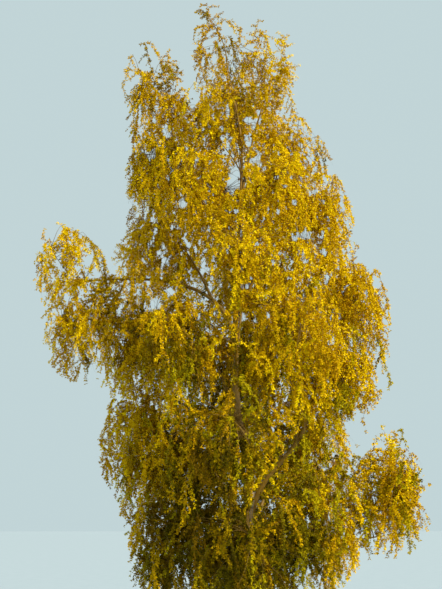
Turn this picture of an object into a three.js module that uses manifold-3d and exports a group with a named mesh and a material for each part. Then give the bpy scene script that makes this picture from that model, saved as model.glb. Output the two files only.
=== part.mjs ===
// A silver birch in yellow autumn leaf, rooted in level ground. Millimetres, +Z up.
// X runs to the viewer's right and Y away from the viewer, in the view that its sizes were read from.
// The origin is the middle of the flat cut under the trunk.
import * as THREE from "three";
import Module from "manifold-3d";
import { mergeVertices } from "three/addons/utils/BufferGeometryUtils.js";

const wasm = await Module();
wasm.setup();

const SEAT_GAP = 0.3; // between two solids that meet
const FREE_GAP = 40; // round the space of a mass, and between a leaf and a limb
const BLADE_GAP = 60; // between two sprays of one mass
const SEAM_SLACK = 0.4; // how far a corner on the seam of two fused pieces may shift
const BARK_COLOUR = 0xcfc8b4;
const BOUGH_COLOUR = 0x8a7a5c;
const LEAF_COLOURS = [0xd9a91a, 0xc8960f, 0xe2b93a, 0xb58c14];

// The trunk: its taper, its root flare and the slight bends of its middle line.
const TRUNK = {
  height: 18250,
  rootRadius: 172,
  tipRadius: 14,
  taper: 1.1,
  flare: 150,
  flareHeight: 340,
  lobes: 5,
  lobeDepth: 0.14,
  sides: 14,
  rings: 26,
  ringCrowding: 1.7,
};
const TRUNK_BENDS = [
  { height: 0, side: 0, depth: 0 },
  { height: 3400, side: 10, depth: 60 },
  { height: 6600, side: 90, depth: 120 },
  { height: 8600, side: -260, depth: 60 },
  { height: 11500, side: -290, depth: -80 },
  { height: 14600, side: -130, depth: 20 },
  { height: 16100, side: -140, depth: 60 },
  { height: 18250, side: -540, depth: 0 },
];

// How a bough, the stem of a mass and its twigs are drawn.
const BOUGH = { sides: 5, rings: 6, tipRadius: 19 };
const STEM = { sides: 3, rings: 3, rootRadius: 19, tipRadius: 13, reach: 0.5 };
const TWIG = {
  sides: 3,
  rings: 2,
  rootRadius: 10,
  tipRadius: 5,
  sunk: 60,
  count: 6,
  shares: [1, 0.88, 0.74],
  starts: [0.34, 0.5, 0.65, 0.8, 0.96],
  leads: [
    [1, 0],
    [0.2, 1],
    [0.35, -1],
  ],
};
// One blade stands for a whole spray of leaves.
const SPRAY = { length: 1280, width: 680, thickness: 18, fullFrom: 1250, shares: [1, 0.84, 0.7, 0.56, 0.44] };

// The routes that a bough can take: the shares of its way out and up at which its two guide points lie.
const ROUTES = {
  arching: { near: [0.08, 0.55], far: [0.48, 0.98] },
  straight: { near: [0.28, 0.38], far: [0.64, 0.78] },
  sweeping: { near: [0.68, 0.33], far: [1.06, 0.72] },
  reaching: { near: [0.06, 0.75], far: [0.3, 1.15] },
  winding: { near: [0.12, 0.45], far: [1.05, 0.2] },
};

// The masses of foliage: the middle and half sizes of each one's space, and its height of leaving the trunk.
// "thick" is the root radius of its bough. A mass without one has a stem that meets the trunk.
// "enter" is the level in its space where its bough ends. "on" and "up" place it on another bough.
const MASSES = {
  crown_top: { at: [-930, -40, 18930], half: [680, 720, 1130], leader: true },
  crown_top_right: { at: [160, 150, 18450], half: [600, 700, 1120], from: 16900 },
  upper_right_plume: { at: [920, -140, 17650], half: [680, 920, 1460], from: 14150, thick: 40, enter: -0.45 },
  upper_left_spire: { at: [-2620, -100, 17450], half: [880, 920, 1480], from: 13000, thick: 48, enter: -0.5 },
  upper_left_inner: { at: [-1500, 330, 16650], half: [860, 970, 1180], from: 15000 },
  upper_back: { at: [-250, 1230, 16700], half: [1130, 970, 1460], from: 14800 },
  upper_front: { at: [-470, -1130, 16550], half: [1030, 920, 1400], from: 14700 },
  left_shoulder: {
    at: [-2450, 190, 15050],
    half: [920, 1210, 1580],
    on: "upper_left_spire",
    up: 0.36,
    thick: 30,
  },
  right_shoulder_high: { at: [1050, 400, 15350], half: [1240, 1260, 1400], from: 13500 },
  front_left_high: { at: [-1260, -1430, 14400], half: [1210, 1090, 1460], from: 12050, thick: 44 },
  front_right_high: { at: [760, -1470, 14200], half: [1260, 1150, 1460], from: 11650, thick: 46 },
  back_high: { at: [-760, 1800, 14400], half: [1610, 1210, 1510], from: 11800, thick: 46 },
  right_edge: { at: [1920, -90, 13500], half: [1030, 1490, 1460], from: 10700, thick: 56 },
  left_arm_upper: { at: [-4960, -100, 12480], half: [1060, 1180, 1160], from: 10200, thick: 68, enter: -0.5 },
  back_middle: { at: [260, 2220, 12150], half: [1900, 1380, 1560], from: 9300, thick: 58 },
  front_middle: { at: [-160, -2140, 12050], half: [1550, 1210, 1510], from: 9200, thick: 58 },
  left_edge: {
    at: [-2450, -280, 12650],
    half: [1080, 1380, 1400],
    on: "left_arm_upper",
    up: 0.28,
    thick: 44,
  },
  left_arm_lower: {
    at: [-4650, 140, 10450],
    half: [1080, 1220, 1330],
    on: "left_arm_upper",
    up: 0.8,
    thick: 30,
  },
  left_inner: { at: [-2920, -240, 10200], half: [1040, 1440, 1460], from: 7600, thick: 60 },
  right_shoulder: { at: [2780, 240, 11250], half: [1290, 1610, 1460], from: 4900, thick: 92, enter: -0.3 },
  front_left_middle: { at: [-1660, -2250, 9850], half: [1490, 1260, 1460], from: 7200, thick: 60 },
  front_right_middle: { at: [1150, -2200, 10000], half: [1550, 1320, 1560], from: 6900, thick: 64 },
  back_low_middle: { at: [-200, 2510, 9500], half: [1780, 1440, 1610], from: 6700, thick: 66 },
  right_middle: {
    at: [2500, -230, 8950],
    half: [1550, 1490, 1300],
    on: "right_shoulder",
    up: 0.45,
    thick: 44,
  },
  left_low: { at: [-2660, 0, 7300], half: [1440, 1610, 1660], from: 5000, thick: 72 },
  back_left_low: { at: [-1800, 2390, 6850], half: [1550, 1440, 1660], from: 4600, thick: 68 },
  front_low: { at: [-340, -2430, 7300], half: [1720, 1320, 1610], from: 4800, thick: 70 },
  back_right_low: { at: [1620, 2250, 6950], half: [1480, 1490, 1720], from: 4400, thick: 70 },
  low_right_arm: { at: [3980, 0, 5950], half: [1260, 1320, 1720], from: 3800, thick: 78, enter: -0.7 },
  low_right_inner: { at: [1790, -840, 5050], half: [1260, 1670, 1900], from: 3100, thick: 60 },
  low_left: { at: [-1770, -810, 4550], half: [1490, 1670, 1900], from: 3250, thick: 62 },
  low_back: { at: [-20, 2160, 4300], half: [1780, 1490, 1660], from: 2900, thick: 62 },
  low_front: { at: [60, -2050, 4350], half: [1550, 1200, 1750], from: 3000 },
};
const ROUTE_OF = {
  upper_left_spire: ROUTES.sweeping,
  left_arm_upper: ROUTES.reaching,
  right_shoulder: ROUTES.winding,
  low_right_arm: ROUTES.arching,
};

// Where the sky shows through the crown, as ovals in the plane of the trunk, seen from the viewpoint.
const VIEWPOINT = new THREE.Vector3(-700, -45000, 5200);
const SKY_GAPS = {
  beside_leader: { side: -330, height: 14850, wide: 190, tall: 450 },
  left_bough_fork: { side: -1230, height: 12450, wide: 130, tall: 300 },
  beside_left_arm: { side: -3820, height: 12450, wide: 180, tall: 560 },
  under_left_shoulder: { side: -2560, height: 11250, wide: 150, tall: 200 },
  right_shoulder_slit: { side: 1620, height: 13200, wide: 130, tall: 220 },
};

const UP = new THREE.Vector3(0, 0, 1);
const GOLDEN_ANGLE = Math.PI * (3 - Math.sqrt(5));
const vector = (x, y, z) => new THREE.Vector3(x, y, z);
const fraction = (value) => value - Math.floor(value);

// A repeatable number from 0 to 1 for two whole numbers.
const chance = (a, b) => fraction(Math.sin(a * 12.9898 + b * 78.233) * 43758.5453);

// One coordinate of the trunk's middle line: a cubic through the bends, sloped at each as its neighbours are.
function bendAt(height, key) {
  const last = TRUNK_BENDS.length - 1;
  let i = 0;
  while (i < last - 1 && TRUNK_BENDS[i + 1].height < height) i += 1;
  const [a, b] = [TRUNK_BENDS[i], TRUNK_BENDS[i + 1]];
  const slope = (k) => {
    const [low, high] = [TRUNK_BENDS[Math.max(k - 1, 0)], TRUNK_BENDS[Math.min(k + 1, last)]];
    return k === 0 ? 0 : (high[key] - low[key]) / (high.height - low.height);
  };
  const span = b.height - a.height;
  const t = (height - a.height) / span;
  const levels = a[key] * (2 * t ** 3 - 3 * t ** 2 + 1) + b[key] * (3 * t ** 2 - 2 * t ** 3);
  return levels + span * (slope(i) * (t ** 3 - 2 * t ** 2 + t) + slope(i + 1) * (t ** 3 - t ** 2));
}

const trunkMiddle = (height) => vector(bendAt(height, "side"), bendAt(height, "depth"), height);

// The trunk's radius at a height, and at an angle round it where the root lobes swell.
function trunkRadius(height, angle = 0) {
  const { tipRadius, rootRadius, taper, flare, flareHeight, lobes, lobeDepth } = TRUNK;
  const straight = tipRadius + (rootRadius - tipRadius) * Math.max(0, 1 - height / TRUNK.height) ** taper;
  const near = Math.exp(-height / flareHeight);
  return (straight + flare * near) * (1 + lobeDepth * near * Math.cos(lobes * angle));
}

// A closed geometry with shared corners, as the joining library needs it.
function sealed(geometry) {
  geometry.deleteAttribute("normal");
  geometry.deleteAttribute("uv");
  return mergeVertices(geometry, 1e-4);
}

function solidOf(geometry) {
  return new wasm.Manifold(
    new wasm.Mesh({
      numProp: 3,
      vertProperties: Float32Array.from(geometry.getAttribute("position").array),
      triVerts: Uint32Array.from(geometry.index.array),
    }),
  );
}

function meshOf(name, solid, colour) {
  const { vertProperties, triVerts } = solid.getMesh();
  const geometry = new THREE.BufferGeometry();
  geometry.setAttribute("position", new THREE.BufferAttribute(vertProperties, 3));
  geometry.setIndex(new THREE.BufferAttribute(triVerts, 1));
  const finish = { color: colour, roughness: 0.75, metalness: 0, flatShading: true };
  const mesh = new THREE.Mesh(geometry, new THREE.MeshStandardMaterial(finish));
  mesh.name = name;
  return mesh;
}

const largestOf = (solid) => solid.decompose().sort((a, b) => b.volume() - a.volume())[0];

// The trunk as a bent cylinder with level rings, which stand closer together near the ground.
function trunkSolid(grown = 0) {
  const { sides, rings, ringCrowding } = TRUNK;
  const geometry = sealed(new THREE.CylinderGeometry(1, 1, 1, sides, rings));
  const corners = geometry.getAttribute("position");
  const spread = grown / Math.cos(Math.PI / sides);
  for (let i = 0; i < corners.count; i += 1) {
    const reach = Math.min(1, Math.hypot(corners.getX(i), corners.getZ(i)));
    const angle = Math.atan2(-corners.getZ(i), corners.getX(i));
    const height = TRUNK.height * (corners.getY(i) + 0.5) ** ringCrowding;
    const middle = trunkMiddle(height);
    const radius = reach * (trunkRadius(height, angle) + spread);
    corners.setXYZ(i, middle.x + radius * Math.cos(angle), middle.y + radius * Math.sin(angle), height);
  }
  return solidOf(geometry);
}

// A tapering limb along a curve, with a flat end at its root and at its tip.
function limbSolid(curve, rootRadius, tipRadius, { sides, rings }) {
  const geometry = sealed(new THREE.CylinderGeometry(1, 1, 1, sides, rings));
  const corners = geometry.getAttribute("position");
  const frames = curve.computeFrenetFrames(rings, false);
  for (let i = 0; i < corners.count; i += 1) {
    const share = corners.getY(i) + 0.5;
    const ring = Math.round(share * rings);
    const across = frames.normals[ring];
    const aside = vector(0, 0, 0).crossVectors(across, frames.tangents[ring]);
    const radius = THREE.MathUtils.lerp(rootRadius, tipRadius, share);
    const place = curve.getPointAt(share);
    place.addScaledVector(across, radius * corners.getX(i));
    place.addScaledVector(aside, radius * corners.getZ(i));
    corners.setXYZ(i, place.x, place.y, place.z);
  }
  return solidOf(geometry);
}

// A point on the straight pieces between a limb's rings, so that what grows there starts inside the limb.
function onLimb(curve, rings, share) {
  const ring = Math.min(rings - 1, Math.floor(share * rings));
  const near = curve.getPointAt(ring / rings);
  return near.lerp(curve.getPointAt((ring + 1) / rings), share * rings - ring);
}

// The straight lengths of a limb, for whatever has to stay clear of it.
function lengthsOf(curve, rootRadius, tipRadius, rings) {
  return Array.from({ length: rings }, (_, i) => ({
    a: curve.getPointAt(i / rings),
    b: curve.getPointAt((i + 1) / rings),
    radius: THREE.MathUtils.lerp(rootRadius, tipRadius, i / rings),
  }));
}

// The shortest distance between two straight lengths.
function distanceBetween(p, q) {
  const [d1, d2] = [q.b.clone().sub(q.a), p.b.clone().sub(p.a)];
  const between = q.a.clone().sub(p.a);
  const [a, e, f] = [d1.dot(d1), d2.dot(d2), d2.dot(between)];
  const [b, c] = [d1.dot(d2), d1.dot(between)];
  const denominator = a * e - b * b;
  let s = denominator > 1e-6 ? THREE.MathUtils.clamp((b * f - c * e) / denominator, 0, 1) : 0;
  const t = THREE.MathUtils.clamp((b * s + f) / e, 0, 1);
  s = THREE.MathUtils.clamp((b * t - c) / a, 0, 1);
  return q.a.clone().addScaledVector(d1, s).distanceTo(p.a.clone().addScaledVector(d2, t));
}

const clearOf = (line, limbs, gap = FREE_GAP) =>
  limbs.every((limb) => distanceBetween(line, limb) > line.radius + limb.radius + gap);

// The space that a mass keeps to: an ellipsoid, cut flat where a neighbour's space begins.
class Space {
  constructor({ at, half }) {
    this.middle = vector(...at);
    this.half = vector(...half);
    this.walls = [];
  }

  // How far the bare ellipsoid reaches from its middle along a direction.
  radiusAlong(way) {
    return 1 / way.clone().divide(this.half).length();
  }

  // How far the space reaches along a direction once its walls stand.
  reachAlong(way) {
    const facing = this.walls.filter((wall) => wall.way.dot(way) > 0);
    return Math.min(this.radiusAlong(way), ...facing.map((wall) => wall.limit / wall.way.dot(way)));
  }

  wallTowards(other) {
    const way = other.middle.clone().sub(this.middle);
    const distance = way.length();
    way.divideScalar(distance);
    const [mine, theirs] = [this.radiusAlong(way), other.radiusAlong(way)];
    if (mine + theirs < distance - 2 * FREE_GAP) return;
    this.walls.push({ way, limit: (distance * mine) / (mine + theirs) - FREE_GAP });
  }

  holds(point) {
    const from = point.clone().sub(this.middle);
    if (from.clone().divide(this.half).length() > 1) return false;
    return this.walls.every((wall) => from.dot(wall.way) <= wall.limit);
  }
}

// Whether a point would stand in a gap where the sky shows, seen from the viewpoint.
function hidesSky(point) {
  const scale = VIEWPOINT.y / (VIEWPOINT.y - point.y);
  const side = VIEWPOINT.x + (point.x - VIEWPOINT.x) * scale;
  const height = VIEWPOINT.z + (point.z - VIEWPOINT.z) * scale;
  return Object.values(SKY_GAPS).some(
    (gap) => Math.hypot((side - gap.side) / gap.wide, (height - gap.height) / gap.tall) < 1,
  );
}

// The level way from the trunk, or from the carrying bough, out to a mass.
function outwardOf(space, root) {
  return vector(space.middle.x - root.x, space.middle.y - root.y, 0).normalize();
}

// Where a bough enters its mass: on the near side of its space.
function entryOf(mass, space, root) {
  const outward = outwardOf(space, root);
  const inset = 0.6 * space.reachAlong(outward.clone().negate());
  const entry = space.middle.clone().addScaledVector(outward, -inset);
  return entry.addScaledVector(UP, (mass.enter ?? 0.15) * space.half.z);
}

function boughCurve(root, entry, { near, far }) {
  const span = entry.clone().sub(root);
  const guide = ([out, up]) => root.clone().add(vector(span.x * out, span.y * out, span.z * up));
  return new THREE.CubicBezierCurve3(root, guide(near), guide(far), entry);
}

// The stem of a mass: it goes on from its bough and reaches towards the far side of the space.
function stemCurve(mass, space, root, way) {
  const outward = outwardOf(space, root);
  const end = space.middle.clone().addScaledVector(outward, STEM.reach * space.reachAlong(outward));
  end.z += (mass.leader ? 0.75 : 0.35) * space.half.z;
  const bend = root.clone().addScaledVector(way, 0.45 * end.distanceTo(root));
  return new THREE.QuadraticBezierCurve3(root, bend, end);
}

// The way from a space's middle to its twig number i: outwards, up, down and then an even, repeatable spread.
function spreadWay(seed, i, outward) {
  if (i < TWIG.leads.length) {
    const [out, up] = TWIG.leads[i];
    return outward.clone().multiplyScalar(out).addScaledVector(UP, up).normalize();
  }
  const level = 1 - 2 * fraction(0.5 + 0.7548776662 * i + 0.137 * seed);
  const turn = 2 * Math.PI * fraction(0.5 + 0.569840291 * i + 0.311 * seed);
  const flat = Math.sqrt(1 - level * level);
  return vector(flat * Math.cos(turn), flat * Math.sin(turn), level);
}

// The way that a spray hangs: down at the sides and the foot of its mass, and outwards or up near the top.
function hangOf(way) {
  const rise = Math.max(0, way.z) ** 1.5;
  return vector(way.x * (0.25 + rise), way.y * (0.25 + rise), 1.9 * rise - 0.9).normalize();
}

// A spray as a thin blade: an upright edge at its root, two side corners, a crest along its midrib and a tip.
class Spray {
  constructor(root, hang, facing, size) {
    const { length, width, thickness } = SPRAY;
    const across = vector(0, 0, 0).crossVectors(hang, facing).normalize();
    const normal = vector(0, 0, 0).crossVectors(across, hang);
    const at = (x, y, z) =>
      root
        .clone()
        .addScaledVector(across, x * size)
        .addScaledVector(hang, y * size)
        .addScaledVector(normal, z * size);
    this.root = root;
    this.right = at(width / 2, 0.42 * length, -0.2 * thickness);
    this.left = at(-width / 2, 0.42 * length, -0.2 * thickness);
    this.tip = at(0, length, 0);
    this.crest = at(0, 0.45 * length, 0.6 * thickness);
    this.edge = [at(0, 0, 0.5 * thickness), at(0, 0, -0.5 * thickness)];
    this.halfWidth = (width * size) / 2;
  }

  // Lines over the blade that lie close enough together for no limb to pass between them.
  ribs() {
    const inner = [this.left, this.right].map((corner) => corner.clone().lerp(this.crest, 0.5));
    const sides = [this.left, ...inner, this.right].flatMap((bend) => [
      { a: this.root, b: bend, radius: 0 },
      { a: bend, b: this.tip, radius: 0 },
    ]);
    return [{ a: this.root, b: this.tip, radius: 0 }, ...sides];
  }

  fits(space, limbs, own) {
    const corners = [this.right, this.left, this.tip, this.crest, ...this.edge];
    if (!corners.every((corner) => space.holds(corner))) return false;
    if (corners.some(hidesSky)) return false;
    const ribs = this.ribs();
    const reach = this.halfWidth + FREE_GAP;
    const near = limbs.filter((limb) => distanceBetween(ribs[0], limb) < reach + limb.radius);
    return ribs.every((rib) => clearOf(rib, near) && clearOf(rib, own, BLADE_GAP));
  }

  // The corners of an octahedron, each moved to its own place on the blade.
  solid() {
    const places = [
      [this.right, this.left],
      [this.tip, this.edge[0]],
      [this.crest, this.edge[1]],
    ];
    const geometry = sealed(new THREE.OctahedronGeometry(1));
    const position = geometry.getAttribute("position");
    for (let i = 0; i < position.count; i += 1) {
      const corner = [position.getX(i), position.getY(i), position.getZ(i)];
      const axis = corner.findIndex((value) => Math.abs(value) > 0.5);
      const place = places[axis][corner[axis] > 0 ? 0 : 1];
      position.setXYZ(i, place.x, place.y, place.z);
    }
    return solidOf(geometry);
  }
}

// A weeping twig from the stem's nearest ring to the root of its end spray, which it meets along the hang.
function twigCurve(stem, root, hang) {
  const starts = TWIG.starts.map((share) => onLimb(stem, STEM.rings, share));
  const start = starts.sort((a, b) => a.distanceTo(root) - b.distanceTo(root))[0];
  const bend = root.clone().addScaledVector(hang, -0.5 * start.distanceTo(root));
  return new THREE.QuadraticBezierCurve3(start, bend, root.clone().addScaledVector(hang, TWIG.sunk));
}

function* sizesOf(shares, spraySizes) {
  for (const share of shares) for (const size of spraySizes) yield { share, size };
}

// Grows a mass from its stem: weeping twigs, each with its sprays, fused into one solid.
function massSolid(seed, space, stem, limbs, cutter) {
  const fullSize = Math.min(1, (space.half.x + space.half.y) / (2 * SPRAY.fullFrom));
  const spraySizes = SPRAY.shares.map((share) => share * fullSize);
  const pieces = [limbSolid(stem, STEM.rootRadius, STEM.tipRadius, STEM)];
  const stemLengths = lengthsOf(stem, STEM.rootRadius, STEM.tipRadius, STEM.rings);
  const outward = outwardOf(space, stem.getPoint(0));
  const [blades, twigs] = [[], []];
  const hangSpray = (root, hang, facing, others) => {
    const spray = spraySizes
      .map((size) => new Spray(root, hang, facing, size))
      .find((one) => one.fits(space, limbs, [...blades, ...others]));
    if (!spray) return;
    pieces.push(spray.solid());
    blades.push(...spray.ribs());
  };
  for (let i = 0; i < TWIG.count; i += 1) {
    const way = spreadWay(seed, i, outward);
    const hang = hangOf(way);
    const facing = way.clone().addScaledVector(vector(-way.y, way.x, 0), 3 * (chance(seed, i) - 0.5));
    for (const { share, size } of sizesOf(TWIG.shares, spraySizes)) {
      const tip = space.middle.clone().addScaledVector(way, 0.98 * share * space.reachAlong(way));
      const root = tip.clone().addScaledVector(hang, -size * SPRAY.length);
      const spray = new Spray(root, hang, facing, size);
      const twig = twigCurve(stem, root, hang);
      const lengths = lengthsOf(twig, TWIG.rootRadius, TWIG.tipRadius, TWIG.rings);
      const free = lengths.every(
        (length) => space.holds(length.b) && clearOf(length, limbs) && clearOf(length, blades, BLADE_GAP),
      );
      if (!free || !spray.fits(space, limbs, [...blades, ...stemLengths, ...twigs])) continue;
      pieces.push(limbSolid(twig, TWIG.rootRadius, TWIG.tipRadius, TWIG), spray.solid());
      const side = onLimb(twig, TWIG.rings, 0.45);
      blades.push(...spray.ribs());
      hangSpray(side, vector(way.x * 0.2, way.y * 0.2, -1).normalize(), facing, [...stemLengths, ...twigs]);
      twigs.push(...lengths);
      break;
    }
  }
  for (let k = 0; k < STEM.rings; k += 1) {
    const turn = GOLDEN_ANGLE * (k + seed);
    const facing = vector(Math.cos(turn), Math.sin(turn), 0);
    const hang = vector(facing.x * 0.3, facing.y * 0.3, -1).normalize();
    hangSpray(onLimb(stem, STEM.rings, (k + 0.5) / STEM.rings), hang, facing, twigs);
  }
  const joined = wasm.Manifold.union(pieces).simplify(SEAM_SLACK);
  return largestOf(cutter ? joined.subtract(cutter) : joined);
}

const tree = new THREE.Group();
const grownTrunk = trunkSolid(SEAT_GAP);
tree.add(meshOf("trunk", trunkSolid(), BARK_COLOUR));

const names = Object.keys(MASSES);
const spaces = new Map(names.map((name) => [name, new Space(MASSES[name])]));
for (const one of spaces.values()) {
  for (const other of spaces.values()) if (one !== other) one.wallTowards(other);
}

const trunkLengths = [];
for (let height = 0; height < TRUNK.height; height += 600) {
  const top = Math.min(TRUNK.height, height + 600);
  trunkLengths.push({ a: trunkMiddle(height), b: trunkMiddle(top), radius: trunkRadius(height) });
}

// The boughs and stems come first, since each mass has to grow clear of all of them.
const boughs = new Map();
for (const name of names.filter((key) => MASSES[key].thick)) {
  const mass = MASSES[name];
  const carrier = boughs.get(mass.on);
  const root = carrier ? carrier.curve.getPointAt(mass.up) : trunkMiddle(mass.from);
  const curve = boughCurve(root, entryOf(mass, spaces.get(name), root), ROUTE_OF[name] ?? ROUTES.straight);
  const whole = limbSolid(curve, mass.thick, BOUGH.tipRadius, BOUGH);
  boughs.set(name, {
    curve,
    solid: largestOf(whole.subtract(carrier?.grown ?? grownTrunk)),
    grown: limbSolid(curve, mass.thick + 2 * SEAT_GAP, BOUGH.tipRadius + 2 * SEAT_GAP, BOUGH),
    lengths: lengthsOf(curve, mass.thick, BOUGH.tipRadius, BOUGH.rings),
  });
}
for (const [name, bough] of boughs) tree.add(meshOf(`bough_${name}`, bough.solid, BOUGH_COLOUR));

const stems = new Map();
for (const name of names) {
  const [mass, space, bough] = [MASSES[name], spaces.get(name), boughs.get(name)];
  const root = bough ? bough.curve.getPointAt(1) : trunkMiddle(mass.from ?? TRUNK.height);
  const way = bough ? bough.curve.getTangentAt(1) : UP.clone();
  if (bough || mass.leader) root.addScaledVector(way, SEAT_GAP);
  else way.copy(entryOf(mass, space, root)).sub(root).normalize();
  const curve = stemCurve(mass, space, root, way);
  stems.set(name, { curve, lengths: lengthsOf(curve, STEM.rootRadius, STEM.tipRadius, STEM.rings) });
}

names.forEach((name, index) => {
  const limbs = [...trunkLengths, ...[...boughs.values()].flatMap((bough) => bough.lengths)];
  for (const [other, stem] of stems) if (other !== name) limbs.push(...stem.lengths);
  const cutter = boughs.has(name) || MASSES[name].leader ? null : grownTrunk;
  const solid = massSolid(index + 1, spaces.get(name), stems.get(name).curve, limbs, cutter);
  tree.add(meshOf(`foliage_${name}`, solid, LEAF_COLOURS[index % LEAF_COLOURS.length]));
});

export default tree;
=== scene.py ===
"""A silver birch in yellow autumn leaf: bark, boughs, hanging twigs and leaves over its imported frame.

Metres, +Z up. X runs to the viewer's right and Y away from the viewer. The origin is the middle of
the flat cut under the trunk.
"""
import logging
import math
from collections.abc import Sequence
from dataclasses import dataclass, field
from enum import Enum
from itertools import product

import bpy
import numpy as np
from numpy.typing import NDArray
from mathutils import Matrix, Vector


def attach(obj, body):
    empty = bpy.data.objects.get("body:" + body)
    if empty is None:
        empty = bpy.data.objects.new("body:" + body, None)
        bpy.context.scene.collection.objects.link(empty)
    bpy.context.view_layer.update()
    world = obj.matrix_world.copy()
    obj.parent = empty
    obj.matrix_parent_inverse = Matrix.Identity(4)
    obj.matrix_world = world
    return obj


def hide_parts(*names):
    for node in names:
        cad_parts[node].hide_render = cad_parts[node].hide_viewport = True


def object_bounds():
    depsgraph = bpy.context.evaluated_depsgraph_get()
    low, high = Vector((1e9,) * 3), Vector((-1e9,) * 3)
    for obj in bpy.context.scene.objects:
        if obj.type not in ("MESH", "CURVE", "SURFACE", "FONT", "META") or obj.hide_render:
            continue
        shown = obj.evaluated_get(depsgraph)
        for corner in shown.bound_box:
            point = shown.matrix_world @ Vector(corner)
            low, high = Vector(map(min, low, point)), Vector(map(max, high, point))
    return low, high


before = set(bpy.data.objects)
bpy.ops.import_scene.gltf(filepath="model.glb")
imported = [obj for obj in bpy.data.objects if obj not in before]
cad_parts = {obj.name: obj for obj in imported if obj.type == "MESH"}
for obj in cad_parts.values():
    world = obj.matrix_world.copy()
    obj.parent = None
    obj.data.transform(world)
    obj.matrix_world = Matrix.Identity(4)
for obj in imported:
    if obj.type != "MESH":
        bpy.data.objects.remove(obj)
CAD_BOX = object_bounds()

Array = NDArray[np.float64]
Numbers = NDArray[np.int64]
Flags = NDArray[np.bool_]
LOG = logging.getLogger("birch")

BODY = "root"
PIECE_LIMIT = 200_000  # triangles in one joined piece
UP = np.array([0.0, 0.0, 1.0])
ASLANT = np.array([0.31, 0.87, 0.12])  # a way that few twigs run
FREE_GAP = 0.04  # round the space of a mass
ENTRY_INSET = 0.6  # where a bough enters its space, of the space's reach towards its root
EVEN_STEP = 0.6180339887  # spreads one number evenly
EVEN_STEPS = (0.7548776662, 0.569840291)  # spread two numbers evenly
MASS_STEPS = (0.137, 0.311)  # shift them from mass to mass
LEADS = ((1.0, 0.0), (0.2, 1.0), (0.35, -1.0))  # the first twigs' ways out and up
RISE_POWER = 1.5  # how little ways that lean count as rising
HANG_OUT, HANG_DOWN = 0.25, 0.9  # how a spray hangs at the sides of its mass
NOISE_WAYS = np.array([127.1, 311.7, 74.7])  # make one number of a cell's three
NOISE_SPREAD = 43758.5453


class Route(Enum):
    """The routes that a bough can take: the shares of its way out and up of its two guide points."""

    ARCHING = ((0.08, 0.55), (0.48, 0.98))
    STRAIGHT = ((0.28, 0.38), (0.64, 0.78))
    SWEEPING = ((0.68, 0.33), (1.06, 0.72))
    REACHING = ((0.06, 0.75), (0.30, 1.15))
    WINDING = ((0.12, 0.45), (1.05, 0.20))


class Tier(Enum):
    """The levels of the crown, from the top down, each with the lowest height of its masses' middles."""

    TOP = 16.2
    HIGH = 13.0
    SHOULDER = 11.0
    MIDDLE = 9.4
    LOW = 7.1
    LOWER = 5.9
    SKIRT = 0.0

    @classmethod
    def holding(cls, height: float) -> "Tier":
        """The tier that a mass with its middle at this height belongs to."""
        return next(tier for tier in cls if height >= tier.value)


class LeafTint(Enum):
    """The autumn tints, which also paint in sun and shade: a colour, how much sun its place has (0 shaded, 1
    sunny) and its weight.
    """

    LEMON = ("#F0D008", 0.95, 0.8)
    GOLD = ("#E8C206", 0.72, 1.5)
    DEEP_GOLD = ("#D0A604", 0.52, 1.3)
    AMBER = ("#B68A04", 0.42, 0.2)
    OCHRE = ("#9A7C04", 0.22, 1.1)
    GREEN_GOLD = ("#B4A008", 0.50, 0.9, True)
    OLIVE = ("#7C6C06", 0.25, 1.0, True)
    # dark tints that paint deep shade into the low and inner crown
    SHADE_OLIVE = ("#564A04", 0.05, 1.2, True)
    SHADE_OCHRE = ("#6C5204", 0.06, 1.0)

    def __init__(self, colour: str, sun: float, weight: float, green: bool = False) -> None:
        """Keeps the parts of a tint under their names.

        Args:
            colour: Its hex code.
            sun: How much sun its place has.
            weight: How common it is.
            green: Whether it is dealt only where the crown is green.
        """
        self.colour = colour
        self.sun = sun
        self.weight = weight
        self.green = green


@dataclass(frozen=True)
class MassPlan:
    """One mass of foliage: where its space lies and what carries it.

    at and half are the middle and the half sizes of its space, and start is the height at which it
    leaves the trunk. thick is the root radius of its bough, and a mass without one has a stem that
    meets the trunk. enter is the level in its space where its bough ends. on and up place it on
    another bough. A leader goes on from the trunk's tip. full is how thick its foliage is, and airy
    the share of the twigs that are missing near its top. shoots are the places, side and height, where
    single shoots end.
    """

    name: str
    at: tuple[float, float, float]
    half: tuple[float, float, float]
    start: float = 0.0
    thick: float = 0.0
    enter: float = 0.15
    on: str = ""
    up: float = 0.0
    route: Route = Route.STRAIGHT
    leader: bool = False
    full: float = 1.0
    airy: float = 0.0
    shoots: tuple[tuple[float, float], ...] = ()


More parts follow.
